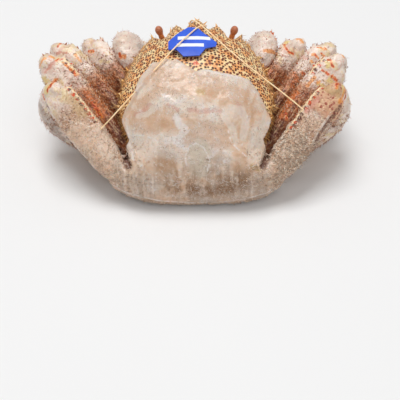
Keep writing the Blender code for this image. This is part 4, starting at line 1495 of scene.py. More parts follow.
def limb_of(places: list[Triple], side: float, spread: dict[int, float], crests: dict[int, Triple]) -> Limb:
    """The line of a limb on one side.

    Args:
        places: its joints on the right side, in millimetres.
        side: 1 for the right side and -1 for the left.
        spread: how much further out some joints are on the left.
        crests: for pieces by number, where their upper crest points on the right side.

    Returns:
        The limb in the row's frame.
    """
    joints = []
    for number, (x, y, z) in enumerate(places):
        wide = spread.get(number, 1.0) if side < 0 else 1.0
        joints.append((Vector((x * side * wide, y, z)) + BODY_PLACE) * MM)
    ups = []
    for number in range(len(joints) - 1):
        if number in crests:
            x, y, z = crests[number]
            ups.append(Vector((x * side, y, z)))
        else:
            before = joints[max(number - 1, 0)]
            bend = (joints[number] - before).normalized() - (joints[number + 1] - joints[number]).normalized()
            ups.append(bend if bend.length > 0.1 else Vector((0.0, 0.0, 1.0)))
    return Limb(joints, ups)


@dataclass
class WalkingLeg:
    """One walking leg: five pieces under one frosted skin, with bristles, curls of ice and a beaded crest."""

    number: int
    letter: str
    finish: bpy.types.Material
    voxel: float = 0.95
    smoothing: tuple[int, int] = (5, 6)
    lumps: tuple[Pair, ...] = ((6.0, 0.8), (2.2, 0.25))
    # The knee's place, counted in pieces from the body, how far its frost reaches and how far that swells it.
    knee: Pair = (2.0, 0.28)
    swelling: dict[int, float] = field(default_factory=lambda: {2: 1.6, 3: 1.6, 4: 1.6, 5: 0.8})
    # Where the frost begins and is full, counted in pieces from the body.
    frost_start: dict[int, Pair] = field(
        default_factory=lambda: {2: (1.30, 1.80), 3: (1.35, 1.88), 4: (1.40, 1.94), 5: (0.9, 1.1)}
    )
    # The beaded crest: its stretch on the legs that show one, the length of its ends, its turn from the upper
    # edge, the millimetres that a radian round the leg makes, its half width and its height.
    ridge: dict[int, Pair] = field(default_factory=lambda: {4: (1.72, 1.97), 5: (1.36, 1.99)})
    ridge_ends: Pair = (0.06, 0.03)
    ridge_turn: float = 0.22
    radian: float = 12.5
    ridge_width: float = 1.1
    ridge_height: float = 0.6
    # Hairs and frozen curls on each leg, hairs under it and spines on its crest.
    hairs: dict[int, tuple[int, int]] = field(
        default_factory=lambda: {2: (2250, 1050), 3: (2250, 1050), 4: (2250, 1050), 5: (700, 420)}
    )
    under_hairs: int = 700
    ridge_spines: int = 30
    ridge_spine: Bristle = Bristle(
        (2.0, 3.8), 1.5, lift=0.45, stray=0.25, bend=0.12, sides=6, rings=((0.0, 1.0), (0.4, 0.75)), sink=0.8,
    )
    fuzz: Bristle = Bristle((2.0, 4.4), 0.32, lift=0.4, stray=0.38, bend=0.35)
    squiggle: Bristle = Bristle(
        (3.0, 6.0), 0.55, lift=0.16, stray=0.5, bend=0.2, tone=(0.93, 1.0), curl=3.4,
        rings=((0.0, 1.0), (0.25, 1.0), (0.5, 1.0), (0.75, 0.9)),
    )
    under: Bristle = Bristle((2.0, 4.2), 0.28, lift=0.35, stray=0.35, bend=0.25)

    def build(self, coat: Coat) -> bpy.types.Object:
        """Makes the leg and adds its bristles to a side's coat.

        Args:
            coat: the coat of this side's legs.

        Returns:
            The leg's skin.
        """
        side = SIDES[self.letter]
        limb = limb_of(WALKING[self.number], side, SPREAD[self.number], {1: CREST[self.number]})
        parts = ("coxa", "merus", "carpus", "propodus", "dactyl")
        nodes = [f"leg{self.number}_{part}_{self.letter}" for part in parts]
        leg = copy_of(f"leg{self.number}_{self.letter}", *nodes)
        remeshed(leg, self.voxel, self.smoothing[0])
        points = points_of(leg)
        swollen = hill(limb.locate(points)[0], *self.knee) * self.swelling[self.number]
        move(leg, points + points_of(leg, "normal") * (swollen * MM)[:, None])
        remeshed(leg, self.voxel, self.smoothing[1])
        roughen(leg, self.lumps)
        points, normals = points_of(leg), points_of(leg, "normal")
        along, angle = limb.locate(points)
        frost, dots = self.frosting(along, normals)
        crest = np.abs(angle)
        across = (angle * side - self.ridge_turn) * self.radian
        length = (limb.joints[2] - limb.joints[1]).length / MM
        ridge = np.zeros(len(points))
        if self.number in self.ridge:
            (start, end), (first, last) = self.ridge[self.number], self.ridge_ends
            ridge = step(along, start, start + first) * step(along, end, end - last)
        raised = hill(across, 0.0, self.ridge_width) * ridge * self.ridge_height
        move(leg, points + normals * (raised * MM)[:, None])
        inner = step(crest, 2.0, 0.7)
        # Steps along the leg count its pieces from the body, and those round it are in radians.
        fields = {
            "frost": frost,
            "dots": dots,
            # deep is painted shade towards the body, stronger on the inner side.
            "deep": step(along, 1.55, 1.05) * (0.55 + 0.45 * inner),
            "under": step(normals[:, 2], -0.25, -0.75) * step(along, 0.0, 0.4),
            "crust": step(along, 1.92, 1.72) * (self.number == HINDMOST) * (1.0 - dots),
            "ridge": ridge * step(crest, 2.0, 1.5),
            "ridge_across": across,
            "ridge_along": (along - 1.0) * length,
        }
        carry(leg, fields)
        settle(leg, Slot.LEG, self.finish, *nodes)
        cell = self.number - min(WALKING)
        # The bristles near the body share that painted shade.
        skin = Skin(leg, limb.unwrap, fields["deep"] * 0.8)
        rough = np.clip(1.0 - frost * 0.97 - dots * 0.9, 0.0, 1.0) * step(along, 0.3, 0.9)
        upper = 1.0 - fields["under"]
        hairs, curls = self.hairs[self.number]
        coat.grow(skin, rough * upper, hairs, self.fuzz, limb.flow, cell)
        curled = rough * step(along, 1.2, 1.6) + fields["crust"] * step(along, 1.3, 1.45)
        coat.grow(skin, curled * upper, curls, self.squiggle, limb.flow, cell)
        below = fields["under"] * step(along, 0.8, 1.2)
        coat.grow(skin, below, self.under_hairs, self.under, limb.flow, cell)
        line = hill(crest, 0.0, 0.10) * step(along, 1.1, 1.25) * step(along, 3.95, 3.8)
        coat.grow(skin, line, self.ridge_spines, self.ridge_spine, limb.flow, cell)
        return leg

    def frosting(self, along: Array, normals: Array) -> tuple[Array, Array]:
        """How much ice lies on the leg, and where its red dots show.

        Args:
            along: the place of each point along the leg.
            normals: which way each faces.

        Returns:
            The ice and the dots, 0 to 1.
        """
        frost = step(along, *self.frost_start[self.number])
        far = step(along, 1.60, 1.82) * step(along, 2.06, 2.0)
        dotted = self.number == HINDMOST and self.letter == "R"
        if dotted:
            frost = frost * (1.0 - 0.9 * far)
        frost = frost * (0.35 + 0.65 * step(normals[:, 2], -0.6, 0.1))
        return frost, far * step(normals[:, 2], -0.3, 0.1) * float(dotted)


@dataclass
class ClawArm:
    """One folded claw arm, iced on its elbow and set with dark stubs."""

    letter: str
    finish: bpy.types.Material
    voxel: float = 0.95
    smoothing: int = 7
    lumps: tuple[Pair, ...] = ((5.0, 0.9), (2.0, 0.4))
    stubs: int = 300
    hairs: int = 1500
    stub: Bristle = Bristle((1.2, 2.6), 0.42, lift=0.8, stray=0.3, bend=0.15)
    fuzz: Bristle = Bristle((2.0, 4.2), 0.3, lift=0.45, stray=0.4, bend=0.35)

    def build(self, coat: Coat) -> bpy.types.Object:
        """Makes the claw and adds its bristles to the claws' coat.

        Args:
            coat: the coat of both claws.

        Returns:
            The claw's skin.
        """
        side = SIDES[self.letter]
        limb = limb_of(CLAW, side, CLAW_SPREAD, {0: (-0.4, -0.5, 0.8)})
        nodes = [f"claw_{part}_{self.letter}" for part in ("arm", "carpus", "palm", "finger")]
        claw = copy_of(f"claw_{self.letter}", *nodes)
        remeshed(claw, self.voxel, self.smoothing)
        roughen(claw, self.lumps)
        points, normals = points_of(claw), points_of(claw, "normal")
        along = limb.locate(points)[0]
        # Steps along the claw count its pieces from the body.
        frost = step(along, 0.35, 0.75) * (0.3 + 0.7 * step(normals[:, 2], -0.5, 0.2))
        fields = {
            "frost": frost,
            "dots": 0.35 * step(along, 1.9, 2.3),
            # deep is painted shade near the body.
            "deep": step(along, 0.45, 0.1),
            "under": step(along, 3.1, 3.5),
            "claw": np.ones(len(points)),
        }
        carry(claw, fields)
        settle(claw, Slot.LEG, self.finish, *nodes)
        skin = Skin(claw, limb.unwrap)
        cell = 0 if side > 0 else 1
        coat.grow(skin, step(along, 0.4, 0.9) * step(along, 3.2, 2.6), self.stubs, self.stub, limb.flow, cell)
        coat.grow(skin, step(along, 3.4, 2.8) * (1.05 - frost), self.hairs, self.fuzz, limb.flow, cell)
        return claw


# A streak is followed in steps of this many parts of the view.
STAIN_STEP = 2.5
# Steps longer than this on the skin, in millimetres, jump from one piece to another and are left out.
STAIN_JUMP = 9.0


@dataclass(frozen=True)
class Stain:
    """A streak on a piece: its colour, its half width in millimetres and its way across the view."""

    colour: str
    width: float
    way: tuple[Pair, ...]

    def steps(self) -> list[Array]:
        """Its way in short steps, so that it keeps to the skin.

        Returns:
            The points of the view.
        """
        places = [np.array(place, float) for place in self.way]
        close = [places[0]]
        for start, end in zip(places, places[1:]):
            count = max(1, math.ceil(float(np.linalg.norm(end - start)) / STAIN_STEP))
            close += [start + (end - start) * share for share in np.linspace(0.0, 1.0, count + 1)[1:]]
        return close


# Streaks on the left limbs, then on the right ones, by points of the view.
STAINS = (
    Stain("red", 1.3, ((57.5, 46.5), (59.5, 44), (63, 43))),
    Stain("rose", 1.5, ((57.5, 53.7), (61.5, 52.3), (66, 53))),
    Stain("rose", 1.5, ((49.5, 65.5), (53.5, 62.6), (57, 60.5))),
    Stain("red", 1.3, ((56, 60.6), (58.5, 59.3))),
    Stain("rose", 1.4, ((45.5, 72), (47.5, 69.3), (50, 67))),
    Stain("amber", 1.5, ((39.3, 72), (39.8, 66), (41.5, 61), (44.5, 58.5))),
    Stain("yellow", 4.2, ((45.5, 81), (46, 91))),
    Stain("red", 1.8, ((56, 80), (51.5, 84), (48.5, 88), (47.5, 91))),
    Stain("red", 1.6, ((43, 95), (44.3, 99.5))),
    Stain("amber", 1.5, ((75.5, 54.5), (77, 57.5), (79.5, 60), (80.8, 61.5))),
    Stain("red", 2.6, ((89.5, 51.8), (92.5, 51.8))),
    Stain("red", 2.3, ((119.8, 54.5), (121, 57), (124, 56.2))),
    Stain("amber", 1.7, ((64, 62.5), (68, 66.5), (71.5, 69.5), (77.5, 74))),
    Stain("red", 1.2, ((66, 65.5), (71, 70), (75.5, 75))),
    Stain("amber", 1.4, ((50, 56.5), (53.5, 57.5))),
    Stain("rust", 3.0, ((86, 92), (92, 100), (98, 108), (103, 116))),
    Stain("red", 1.8, ((92, 103), (97, 110), (101, 117))),
    # Grey ash streaks paint shade on the outer strip of the left hindmost leg.
    Stain("ash", 5.0, ((47, 116), (56, 132), (68, 147))),
    Stain("ash", 5.0, ((39, 104), (47, 122), (60, 138), (72, 150))),
    # Umber streaks paint shadow in the gaps between the leg's pieces.
    Stain("umber", 1.5, ((45.6, 103), (52.5, 118), (62, 128), (69, 139), (76, 148))),
    Stain("line", 0.9, ((47.5, 108), (57.5, 122.5), (73, 142), (88, 158))),
    Stain("olive", 6.0, ((70, 98), (76, 104), (82, 112))),
    # Umber: painted shadow in the gap beside the shell.
    Stain("umber", 2.0, ((101, 131), (105, 138), (110, 146))),
    Stain("amber", 1.4, ((336, 50), (341, 52.5), (344, 57))),
    Stain("red", 1.1, ((322, 70), (326, 73), (329, 75))),
    Stain("red", 1.2, ((315.5, 55), (319, 58.5), (323, 60.5))),
    Stain("amber", 1.6, ((307, 86), (311, 81), (314.5, 77.5))),
    Stain("red", 1.3, ((346, 90), (345.5, 97), (343, 102))),
    Stain("red", 1.3, ((270, 31), (272.5, 33), (274.5, 36.5), (276, 39.5))),
    Stain("amber", 2.0, ((265, 51), (269, 50.8), (274, 52))),
    Stain("red", 1.4, ((284.3, 44.4), (285.2, 47.5), (288.5, 51.8), (293, 53.7))),
    Stain("yellow", 2.4, ((285.2, 42.8), (287.5, 41.5))),
    Stain("amber", 2.2, ((297.5, 38.8), (301, 39.2), (302.5, 42))),
    Stain("red", 1.6, ((318.5, 47.5), (321, 48.2), (325, 49))),
    Stain("red", 1.5, ((321, 53.5), (323.5, 56.5))),
    Stain("amber", 1.5, ((312.5, 54.5), (314.5, 54.3))),
    Stain("red", 1.5, ((328, 59.5), (331.5, 62), (332.8, 66))),
    Stain("yellow", 2.4, ((327, 61), (328, 65.5))),
    Stain("red", 1.8, ((302, 72.5), (304, 74.5))),
    Stain("amber", 1.5, ((311.5, 61), (313.5, 63))),
    Stain("red", 1.7, ((332, 76.5), (335, 79), (337.5, 83), (337, 87))),
    Stain("yellow", 2.8, ((330, 80), (332.5, 84))),
    Stain("yellow", 2.2, ((343, 85), (343.5, 92))),
    Stain("amber", 1.7, ((345, 86), (344, 92), (342.5, 98), (339.7, 102))),
    Stain("amber", 1.6, ((317, 82.5), (319.5, 81.5))),
    Stain("rust", 2.6, ((294.5, 74), (297, 80), (294, 86))),
    # The umber streaks here paint shadow in the gaps of the right hindmost leg.
    Stain("umber", 2.0, ((340, 107), (333, 116), (326, 124), (319, 134), (313.5, 148))),
    Stain("line", 0.9, ((332, 112), (324, 123), (316, 135), (311, 149))),
    Stain("umber", 1.2, ((329, 121), (334, 127))),
    Stain("umber", 2.0, ((300, 118), (291, 131), (281, 144))),
    Stain("rose", 2.2, ((318, 98), (312, 106), (306, 112))),
    Stain("olive", 4.0, ((326, 88), (338, 92))),
    Stain("yellow", 2.0, ((318, 84), (324, 86))),
    Stain("rust", 2.0, ((280, 118), (288, 104), (297, 92))),
    Stain("rust", 3.4, ((268, 70), (262, 82))),
    Stain("rust", 2.6, ((290, 96), (284, 106))),
    Stain("red", 1.5, ((286.5, 114), (286.5, 119))),
    Stain("red", 1.3, ((294.5, 115.5), (294, 119.5))),
)


# Marks on the ice, by points of the view, with the clefts that run on from the gaps beside the shell.
ICE_MARKS = (
    # The clefts are pressed in and darkened with painted shade.
    Stain("cleft", 3.4, ((120, 147), (123.5, 156), (127, 166))),
    Stain("cleft", 3.4, ((271.5, 147), (268, 157), (264, 166))),
    # This white line along the ice's lower outline, as the camera sees it, is a painted highlight.
    Stain(
        "line", 1.5,
        (
            (109.3, 182.8), (123.6, 191.4), (142, 197.2), (159, 200.7), (188, 202.8), (223.6, 202.2),
            (246.4, 198.7), (266.4, 193), (280.7, 184.4),
        ),
    ),
    Stain("line", 0.8, ((262, 158), (257, 165), (249, 168))),
    Stain("line", 0.8, ((128, 156), (136, 161), (142, 170))),
    Stain("tan", 11.0, ((136, 118), (152, 122), (166, 118))),
    Stain("tan", 6.0, ((141, 104), (150, 96), (160, 90))),
    Stain("tan", 11.0, ((190, 134), (206, 132), (220, 138))),
    Stain("tan", 9.0, ((212, 88), (228, 92), (244, 97))),
    Stain("tan", 8.0, ((162, 84), (186, 88))),
    Stain("tan", 6.0, ((252, 108), (248, 118))),
    Stain("grey", 8.5, ((199.5, 151), (199.5, 168))),
    Stain("olive", 4.5, ((199, 91), (200.5, 93))),
    Stain("rose", 2.6, ((188, 110), (200, 112), (212, 110), (220, 111))),
    Stain("rose", 2.2, ((168, 104), (178, 110))),
    # The dark streaks paint shade on the lower front.
    Stain("dark", 11.0, ((162, 160), (174, 166), (184, 173))),
    Stain("dark", 12.0, ((217, 167), (229, 173), (238, 179))),
    Stain("dark", 6.0, ((172, 187), (200, 191), (230, 189))),
    Stain("hair", 4.0, ((174, 116), (188, 112))),
    Stain("hair", 4.5, ((219, 116), (226, 130), (240, 144))),
    Stain("hair", 4.0, ((164, 142), (178, 140))),
    Stain("hair", 3.0, ((168, 66), (171, 76), (178, 78))),
    Stain("hair", 5.0, ((196, 183), (214, 186), (220, 178))),
    Stain("pale", 9.0, ((118, 177), (134, 184), (150, 186))),
    Stain("pale", 8.0, ((134, 148), (150, 151), (162, 146))),
    Stain("pale", 7.0, ((141, 66), (144, 76), (136, 90))),
    Stain("tan", 9.0, ((150, 74), (162, 76), (176, 78))),
    Stain("pale", 3.6, ((232, 108), (242, 111), (246, 122), (243, 136))),
    Stain("pale", 3.0, ((224, 116), (232, 128), (236, 142))),
    Stain(
        "line", 0.9, ((187, 168), (185.3, 156), (189, 147), (196, 143), (204, 148), (210, 160), (207.5, 171)),
    ),
    Stain("line", 0.8, ((129, 135), (142, 135.5), (153.5, 138.5), (158, 142))),
    Stain("line", 0.8, ((228, 130), (231, 142), (239, 150), (247, 157))),
    Stain("tan", 10.0, ((176, 80), (196, 80), (216, 84))),
    Stain("white", 3.4, ((176, 117), (180, 125), (185, 130), (178, 139), (168, 141))),
    Stain("pale", 2.2, ((138, 116), (148, 114), (158, 106))),
    Stain("pale", 2.6, ((127, 122), (129, 140), (134, 158))),
    Stain("line", 0.9, ((126, 118), (128.5, 138), (133, 157))),
    Stain("pale", 2.4, ((265, 112), (262, 130), (256, 152))),
    Stain("rose", 3.0, ((150, 104), (142, 112), (136, 114))),
    Stain("rose", 3.0, ((238, 104), (246, 118), (244, 132))),
    Stain("olive", 3.0, ((252, 166), (258, 170))),
    Stain("white", 1.4, ((206, 70), (222, 74), (240, 78))),
)


def paint_stains(view: Viewpoint, limbs: list[bpy.types.Object], stains: tuple[Stain, ...]) -> None:
    """Marks the streaks on the pieces that show at their places.

    Args:
        view: the camera, for which their places are given.
        limbs: the finished skins that carry them.
        stains: the streaks.
    """
    names = sorted({stain.colour for stain in stains})
    skins = [(limb, points_of(limb)) for limb in limbs]
    fields = [{name: np.zeros(len(points)) for name in names} for _, points in skins]
    for stain in stains:
        way = [np.array(view.nearest(across, down, limbs)) for across, down in stain.steps()]
        for (_, points), values in zip(skins, fields):
            for start, end in zip(way, way[1:]):
                axis = end - start
                if np.linalg.norm(axis) > STAIN_JUMP * MM:
                    continue
                share = np.clip((points - start) @ axis / (axis @ axis), 0.0, 1.0)
                distance = np.linalg.norm(points - start - share[:, None] * axis, axis=1) / MM
                values[stain.colour] = np.maximum(values[stain.colour], hill(distance, 0.0, stain.width))
    for (limb, _), values in zip(skins, fields):
        carry(limb, values)


# The visible front edge of the ice on the back: x, y in the body's frame.
ICE_FRONT = (
    (-66.0, -30.0), (-54.0, -8.0), (-49.0, 4.0), (-44.0, 13.0), (-36.0, 19.0), (-26.0, 20.5), (-16.0, 20.0),
    (-8.0, 14.0), (-2.0, 9.0), (10.0, 11.0), (30.0, 7.5), (45.0, 5.0), (66.0, -20.0),
)


@dataclass
class IceCrust:
    """The ice over the rear of the back and the roots of the hindmost legs."""

    view: Viewpoint
    shell: bpy.types.Object
    voxel: float = 1.1
    smoothing: int = 7
    lumps: tuple[Pair, ...] = ((14.0, 1.3), (5.0, 0.8), (2.4, 0.35))
    cleft_depth: float = 5.0
    # Round the root of the hindmost legs: how far out it reaches, as a share of their first long piece, how
    # thick it is and how far it sinks into them past its end.
    reach: dict[str, float] = field(default_factory=lambda: {"R": 0.55, "L": 0.78})
    thickness: float = 0.9
    end_depth: float = 1.6
    sleeve_smoothing: int = 8
    # The left strand of the band runs under the ice between these places across the crab, over this height,
    # and the ice covers it by this much.
    hidden_band: Pair = (-58.3, -38.8)
    hidden_height: float = 60.0
    band_cover: float = 0.8
    # Past its front edge it sinks this far under the bare shell.
    front_depth: float = 3.2
    curl: Bristle = Bristle(
        (5.0, 9.0), 0.85, lift=0.12, stray=0.5, bend=0.15, sink=0.1,
        rings=((0.0, 1.0), (0.2, 1.0), (0.4, 1.0), (0.6, 1.0), (0.8, 0.9)), tone=(0.0, 0.25), curl=4.2,
    )
    hair: Bristle = Bristle(
        (1.8, 4.2), 0.34, lift=0.05, stray=0.9, bend=0.4, sink=0.05, tone=(0.75, 0.85), curl=1.6,
    )
    dark_curl: Bristle = Bristle((3.0, 5.5), 0.6, lift=0.1, stray=0.5, bend=0.3, sink=0.1, tone=(0.6, 0.85))
    short_curl: Bristle = Bristle(
        (2.5, 5.0), 0.5, lift=0.2, stray=0.6, bend=0.2, sink=0.15,
        rings=((0.0, 1.0), (0.25, 1.0), (0.5, 1.0), (0.75, 0.9)), curl=3.2,
    )

    def sleeve(self, letter: str) -> bpy.types.Object:
        """The ice round the root of a hindmost leg, which thins out towards the knee.

        Args:
            letter: the leg's side.

        Returns:
            The sleeve of ice.
        """
        sleeve = copy_of(f"sleeve_{letter}", f"leg{HINDMOST}_merus_{letter}")
        remeshed(sleeve, self.voxel, self.sleeve_smoothing)
        limb = limb_of(WALKING[HINDMOST], SIDES[letter], SPREAD[HINDMOST], {1: CREST[HINDMOST]})
        points = points_of(sleeve)
        along, angle = limb.locate(points)
        share = along - 1.0 + 0.04 * np.sin(3.0 * angle + 1.0) + 0.025 * np.sin(7.0 * angle)
        end = self.reach[letter]
        thickness = self.thickness * step(share, end, end - 0.35)
        thickness = thickness - self.end_depth * step(share, end - 0.12, end + 0.02)
        move(sleeve, points + points_of(sleeve, "normal") * thickness[:, None] * MM)
        root, knee = limb.joints[1], limb.joints[2]
        cut(sleeve, (root.lerp(knee, end + 0.16), (knee - root).normalized()))
        return sleeve

    def cover(self) -> bpy.types.Object:
        """The ice round the stretch of the band that it hides.

        Returns:
            The ridge of ice.
        """
        cover = copy_of("band_cover", "band")
        modify(cover, "DISPLACE", strength=self.band_cover * MM, mid_level=0.0)
        left, right = self.hidden_band
        cut(
            cover, (Vector((left * MM, 0.0, 0.0)), Vector((-1.0, -0.3, 0.0))),
            (Vector((right * MM, 0.0, 0.0)), Vector((1.0, 0.3, 0.0))),
            (Vector((0.0, 0.0, self.hidden_height * MM)), Vector((0.0, 0.0, -1.0))),
        )
        return cover

    def build(self) -> None:
        """Makes the ice and the curled bristles frozen in it."""
        ice = copy_of("ice_crust", "glaze")
        sleeves = [self.sleeve(letter) for letter in SIDES]
        pick(*sleeves, self.cover(), ice)
        bpy.ops.object.join()
        remeshed(ice, self.voxel, self.smoothing)
        roughen(ice, self.lumps)
        points, normals = points_of(ice), points_of(ice, "normal")
        local = in_body(points)
        edge_x, edge_y = zip(*ICE_FRONT)
        beyond = local[:, 1] - np.interp(local[:, 0], edge_x, edge_y) + 1.2 * np.sin(local[:, 0] * 0.55)
        sunk = step(beyond, -0.5, 2.5) * step(local[:, 2], 2.0, 8.0) * self.front_depth
        down = np.array(BODY.to_3x3() @ Vector((0.0, 0.0, -1.0)))
        points = points + down * (sunk * MM)[:, None]
        move(ice, points)
        bpy.context.view_layer.update()
        paint_stains(self.view, [ice], ICE_MARKS)
        # The clefts are pressed in here and darkened with painted shade by the finish.
        cleft = carried(ice, "cleft")
        points = points - normals * (cleft * self.cleft_depth * MM)[:, None]
        move(ice, points)
        # Steps and hills along x, y and z are in the body's frame, in millimetres.
        leg = step(np.abs(local[:, 0]), 58.0, 68.0)
        # low marks the lower rear, which the finish darkens with painted shade.
        low = np.clip(step(local[:, 1], -50.0, -64.0) * step(local[:, 2], 2.0, -14.0), 0, 1)
        over = np.array([self.shell.closest_point_on_mesh(point)[3] for point in points]) / MM
        front = step(local[:, 1], -30.0, -18.0) * step(local[:, 2], -4.0, 0.0)
        rim = hill(points[:, 2] / MM, 5.5, 2.2) * step(local[:, 1], -50.0, -60.0)
        thin, edge = step(over, 2.2, 0.9) * front, hill(over, 1.2, 0.7) * front
        carry(ice, {"low": low, "leg": leg, "thin": thin, "edge": edge, "rim": rim})
        settle(ice, Slot.ICE, IceFinish().build(), "glaze")
        skin = Skin(ice, dome_unwrap)
        coat = Coat("ice_bristles", Seed.ICE.value)
        corner = step(np.abs(local[:, 0]), 34.0, 48.0) * step(local[:, 1], -42.0, -52.0)
        upper = step(normals[:, 2], -0.2, 0.2)
        right = leg * (local[:, 0] > 0) * step(over, 3.0, 9.0)
        coat.grow(skin, right * upper, 650, self.dark_curl, self.flow)
        coat.grow(skin, right * upper, 650, self.curl, self.flow)
        coat.grow(skin, (leg * 0.6 + corner * (1.0 - 0.7 * cleft)) * upper, 1700, self.short_curl, self.flow)
        coat.grow(skin, rim * step(normals[:, 2], -0.8, -0.2), 520, self.short_curl, self.flow)
        coat.grow(skin, low * upper, 300, self.short_curl, self.flow)
        hairy = carried(ice, "hair")
        coat.grow(skin, hairy * (hairy > 0.05), 110, self.hair, self.flow)
        tones = srgb(252, 224, 196), srgb(255, 250, 238), srgb(136, 80, 52)
        coat.build(Slot.ICE, CoatFinish("frozen_bristle", *tones))

    def flow(self, points: Array) -> Array:
        """The bristles under the ice lie outwards and down.

        Args:
            points: places in metres.

        Returns:
            A direction for each.
        """
        local = in_body(points)
        return unit(np.stack([local[:, 0], local[:, 1] * 0.3, -np.abs(local[:, 1]) * 0.5], axis=1))


@dataclass
class Underside:
    """The thorax, the folded tail flap and the mouthparts."""

    finish: bpy.types.Material
    # For each piece its nodes, the size of its faces and the number of its hairs.
    groups: dict[str, tuple[tuple[str, ...], float, int]] = field(
        default_factory=lambda: {
            "thorax_plates": (("thorax",), 1.2, 1900),
            "tail_flap": (("abdomen",), 1.0, 1500),
            "mouthparts": (("maxilliped_L", "maxilliped_R"), 0.7, 1000),
        }
    )
    smoothing: int = 4
    lumps: tuple[Pair, ...] = ((4.0, 0.4),)
    fringe: Bristle = Bristle((2.0, 4.6), 0.3, lift=0.35, stray=0.4, bend=0.3)

    def build(self) -> None:
        """Makes the pieces and their fringes."""
        coat = Coat("belly_fringe", Seed.BELLY.value, 4)
        for cell, (name, (nodes, voxel, hairs)) in enumerate(self.groups.items()):
            piece = copy_of(name, *nodes)
            remeshed(piece, voxel, self.smoothing)
            roughen(piece, self.lumps)
            settle(piece, Slot.BELLY, self.finish, *nodes)
            edge = step(np.abs(in_body(points_of(piece))[:, 0]), 6.0, 16.0) + 0.1
            coat.grow(Skin(piece, dome_unwrap), edge, hairs, self.fringe, self.outward, cell)
        tones = srgb(150, 96, 52), srgb(224, 180, 118), srgb(176, 112, 64)
        coat.build(Slot.BELLY, CoatFinish("belly_bristle", *tones))

    def outward(self, points: Array) -> Array:
        """The fringes point away from the middle, forwards and a little down.

        Args:
            points: places in metres.

        Returns:
            A direction for each.
        """
        side = np.sign(in_body(points)[:, 0])
        return unit(np.stack([side, np.full(len(points), 0.5), np.full(len(points), -0.3)], axis=1))


@dataclass
class Feelers:
    """The eyes on their stalks and the antennae."""

    leg_finish: bpy.types.Material

    def build(self) -> None:
        """Makes both eyes and both antennae."""
        eye_finish = EyeFinish().build()
        for letter in SIDES:
            eye = copy_of(f"stalk_eye_{letter}", f"eye_{letter}")
            modify(eye, "SUBSURF", levels=2, render_levels=2)
            eye.data.shade_smooth()
            local = in_body(points_of(eye))
            low, high = local[:, 2].min(), local[:, 2].max()
            carry(eye, {"up": (local[:, 2] - low) / (high - low)})
            settle(eye, Slot.EYE, eye_finish, f"eye_{letter}")
            feeler = copy_of(f"feeler_{letter}", f"antenna_{letter}")
            modify(feeler, "SUBSURF", levels=1, render_levels=1)
            feeler.data.shade_smooth()
            carry(feeler, {"dots": np.full(len(feeler.data.vertices), 0.25)})
            settle(feeler, Slot.LEG, self.leg_finish, f"antenna_{letter}")


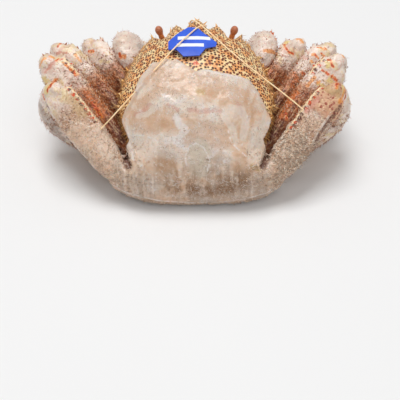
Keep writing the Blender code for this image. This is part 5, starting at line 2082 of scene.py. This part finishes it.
@dataclass
class TagAndBand:
    """What the crab wears: a plain printed tag under a round rubber band.

    The band dips under the frost of the hindmost legs outside these points of the view, over a certain
    height, and comes out again beneath them. Sizes are in millimetres and angles in degrees.
    """

    view: Viewpoint
    limbs: list[bpy.types.Object]
    dip: dict[str, Pair] = field(
        default_factory=lambda: {"R": (299.5, 105.5), "L": (102.5, 124.5)}
    )
    dip_height: float = 22.0
    dip_rise: float = 10.0
    dip_depth: float = 9.0
    # The dip grows between these two distances before the band would show past its point.
    dip_onset: Pair = (9.5, 5.0)
    bevel: float = 0.25
    bevel_angle: float = 50.0
    smooth_angle: float = 35.0
    # The rounded band is this much thinner all round than its faceted solid.
    band_loss: float = 0.3

    def sink(self, band: bpy.types.Object) -> None:
        """Moves the band's ends towards the middle of the hindmost legs.

        Args:
            band: the band.
        """
        points = points_of(band)
        for letter, side in SIDES.items():
            limb = limb_of(WALKING[HINDMOST], side, SPREAD[HINDMOST], {})
            root, knee = np.array(limb.joints[1]), np.array(limb.joints[2])
            axis = knee - root
            share = np.clip((points - root) @ axis / (axis @ axis), 0.0, 1.0)
            inward = unit(root + share[:, None] * axis - points)
            start = self.view.nearest(*self.dip[letter], self.limbs).x * side / MM
            far, near = self.dip_onset
            deep = step(points[:, 0] * side / MM, start - far, start - near)
            deep = deep * step(points[:, 2] / MM, self.dip_height, self.dip_height + self.dip_rise)
            points = points + inward * (deep * self.dip_depth * MM)[:, None]
        move(band, points)

    def build(self) -> None:
        """Makes the tag and the band."""
        tag = copy_of("blue_tag", "tag")
        limit = math.radians(self.bevel_angle)
        modify(tag, "BEVEL", width=self.bevel * MM, segments=2, limit_method="ANGLE", angle_limit=limit)
        pick(tag)
        bpy.ops.object.shade_smooth_by_angle(angle=math.radians(self.smooth_angle))
        settle(tag, Slot.TAG, TagFinish().build(), "tag")
        band = copy_of("rubber_band", "band")
        modify(band, "SUBSURF", levels=1, render_levels=1)
        modify(band, "DISPLACE", strength=-self.band_loss * MM, mid_level=0.0)
        self.sink(band)
        band.data.shade_smooth()
        settle(band, Slot.BAND, BandFinish().build(), "band")


def main() -> None:
    """Builds the crab's pieces in order."""
    logging.basicConfig(level=logging.INFO, format="%(name)s %(message)s")
    view = Viewpoint()
    view.build()
    Studio().build()
    leg_finish = LegFinish().build()
    shell = BackShell(view).build()
    limbs = []
    for seed, letter in ((Seed.LEGS_R, "R"), (Seed.LEGS_L, "L")):
        coat = Coat(f"leg_bristles_{letter}", seed.value, len(WALKING))
        for number in WALKING:
            limbs.append(WalkingLeg(number, letter, leg_finish).build(coat))
        tones = srgb(124, 50, 14), srgb(236, 154, 78), srgb(176, 70, 20)
        coat.build(Slot.LEG, CoatFinish(f"leg_bristle_{letter}", *tones))
    claw_coat = Coat("claw_bristles", Seed.CLAWS.value, len(SIDES))
    for letter in SIDES:
        limbs.append(ClawArm(letter, leg_finish).build(claw_coat))
    tones = srgb(150, 62, 42), srgb(190, 98, 70), srgb(226, 162, 120)
    claw_coat.build(Slot.LEG, CoatFinish("claw_bristle", *tones))
    paint_stains(view, limbs, STAINS)
    IceCrust(view, shell).build()
    Underside(BellyFinish().build()).build()
    Feelers(leg_finish).build()
    TagAndBand(view, limbs).build()
    bpy.context.view_layer.update()


if __name__ == "__main__":
    main()
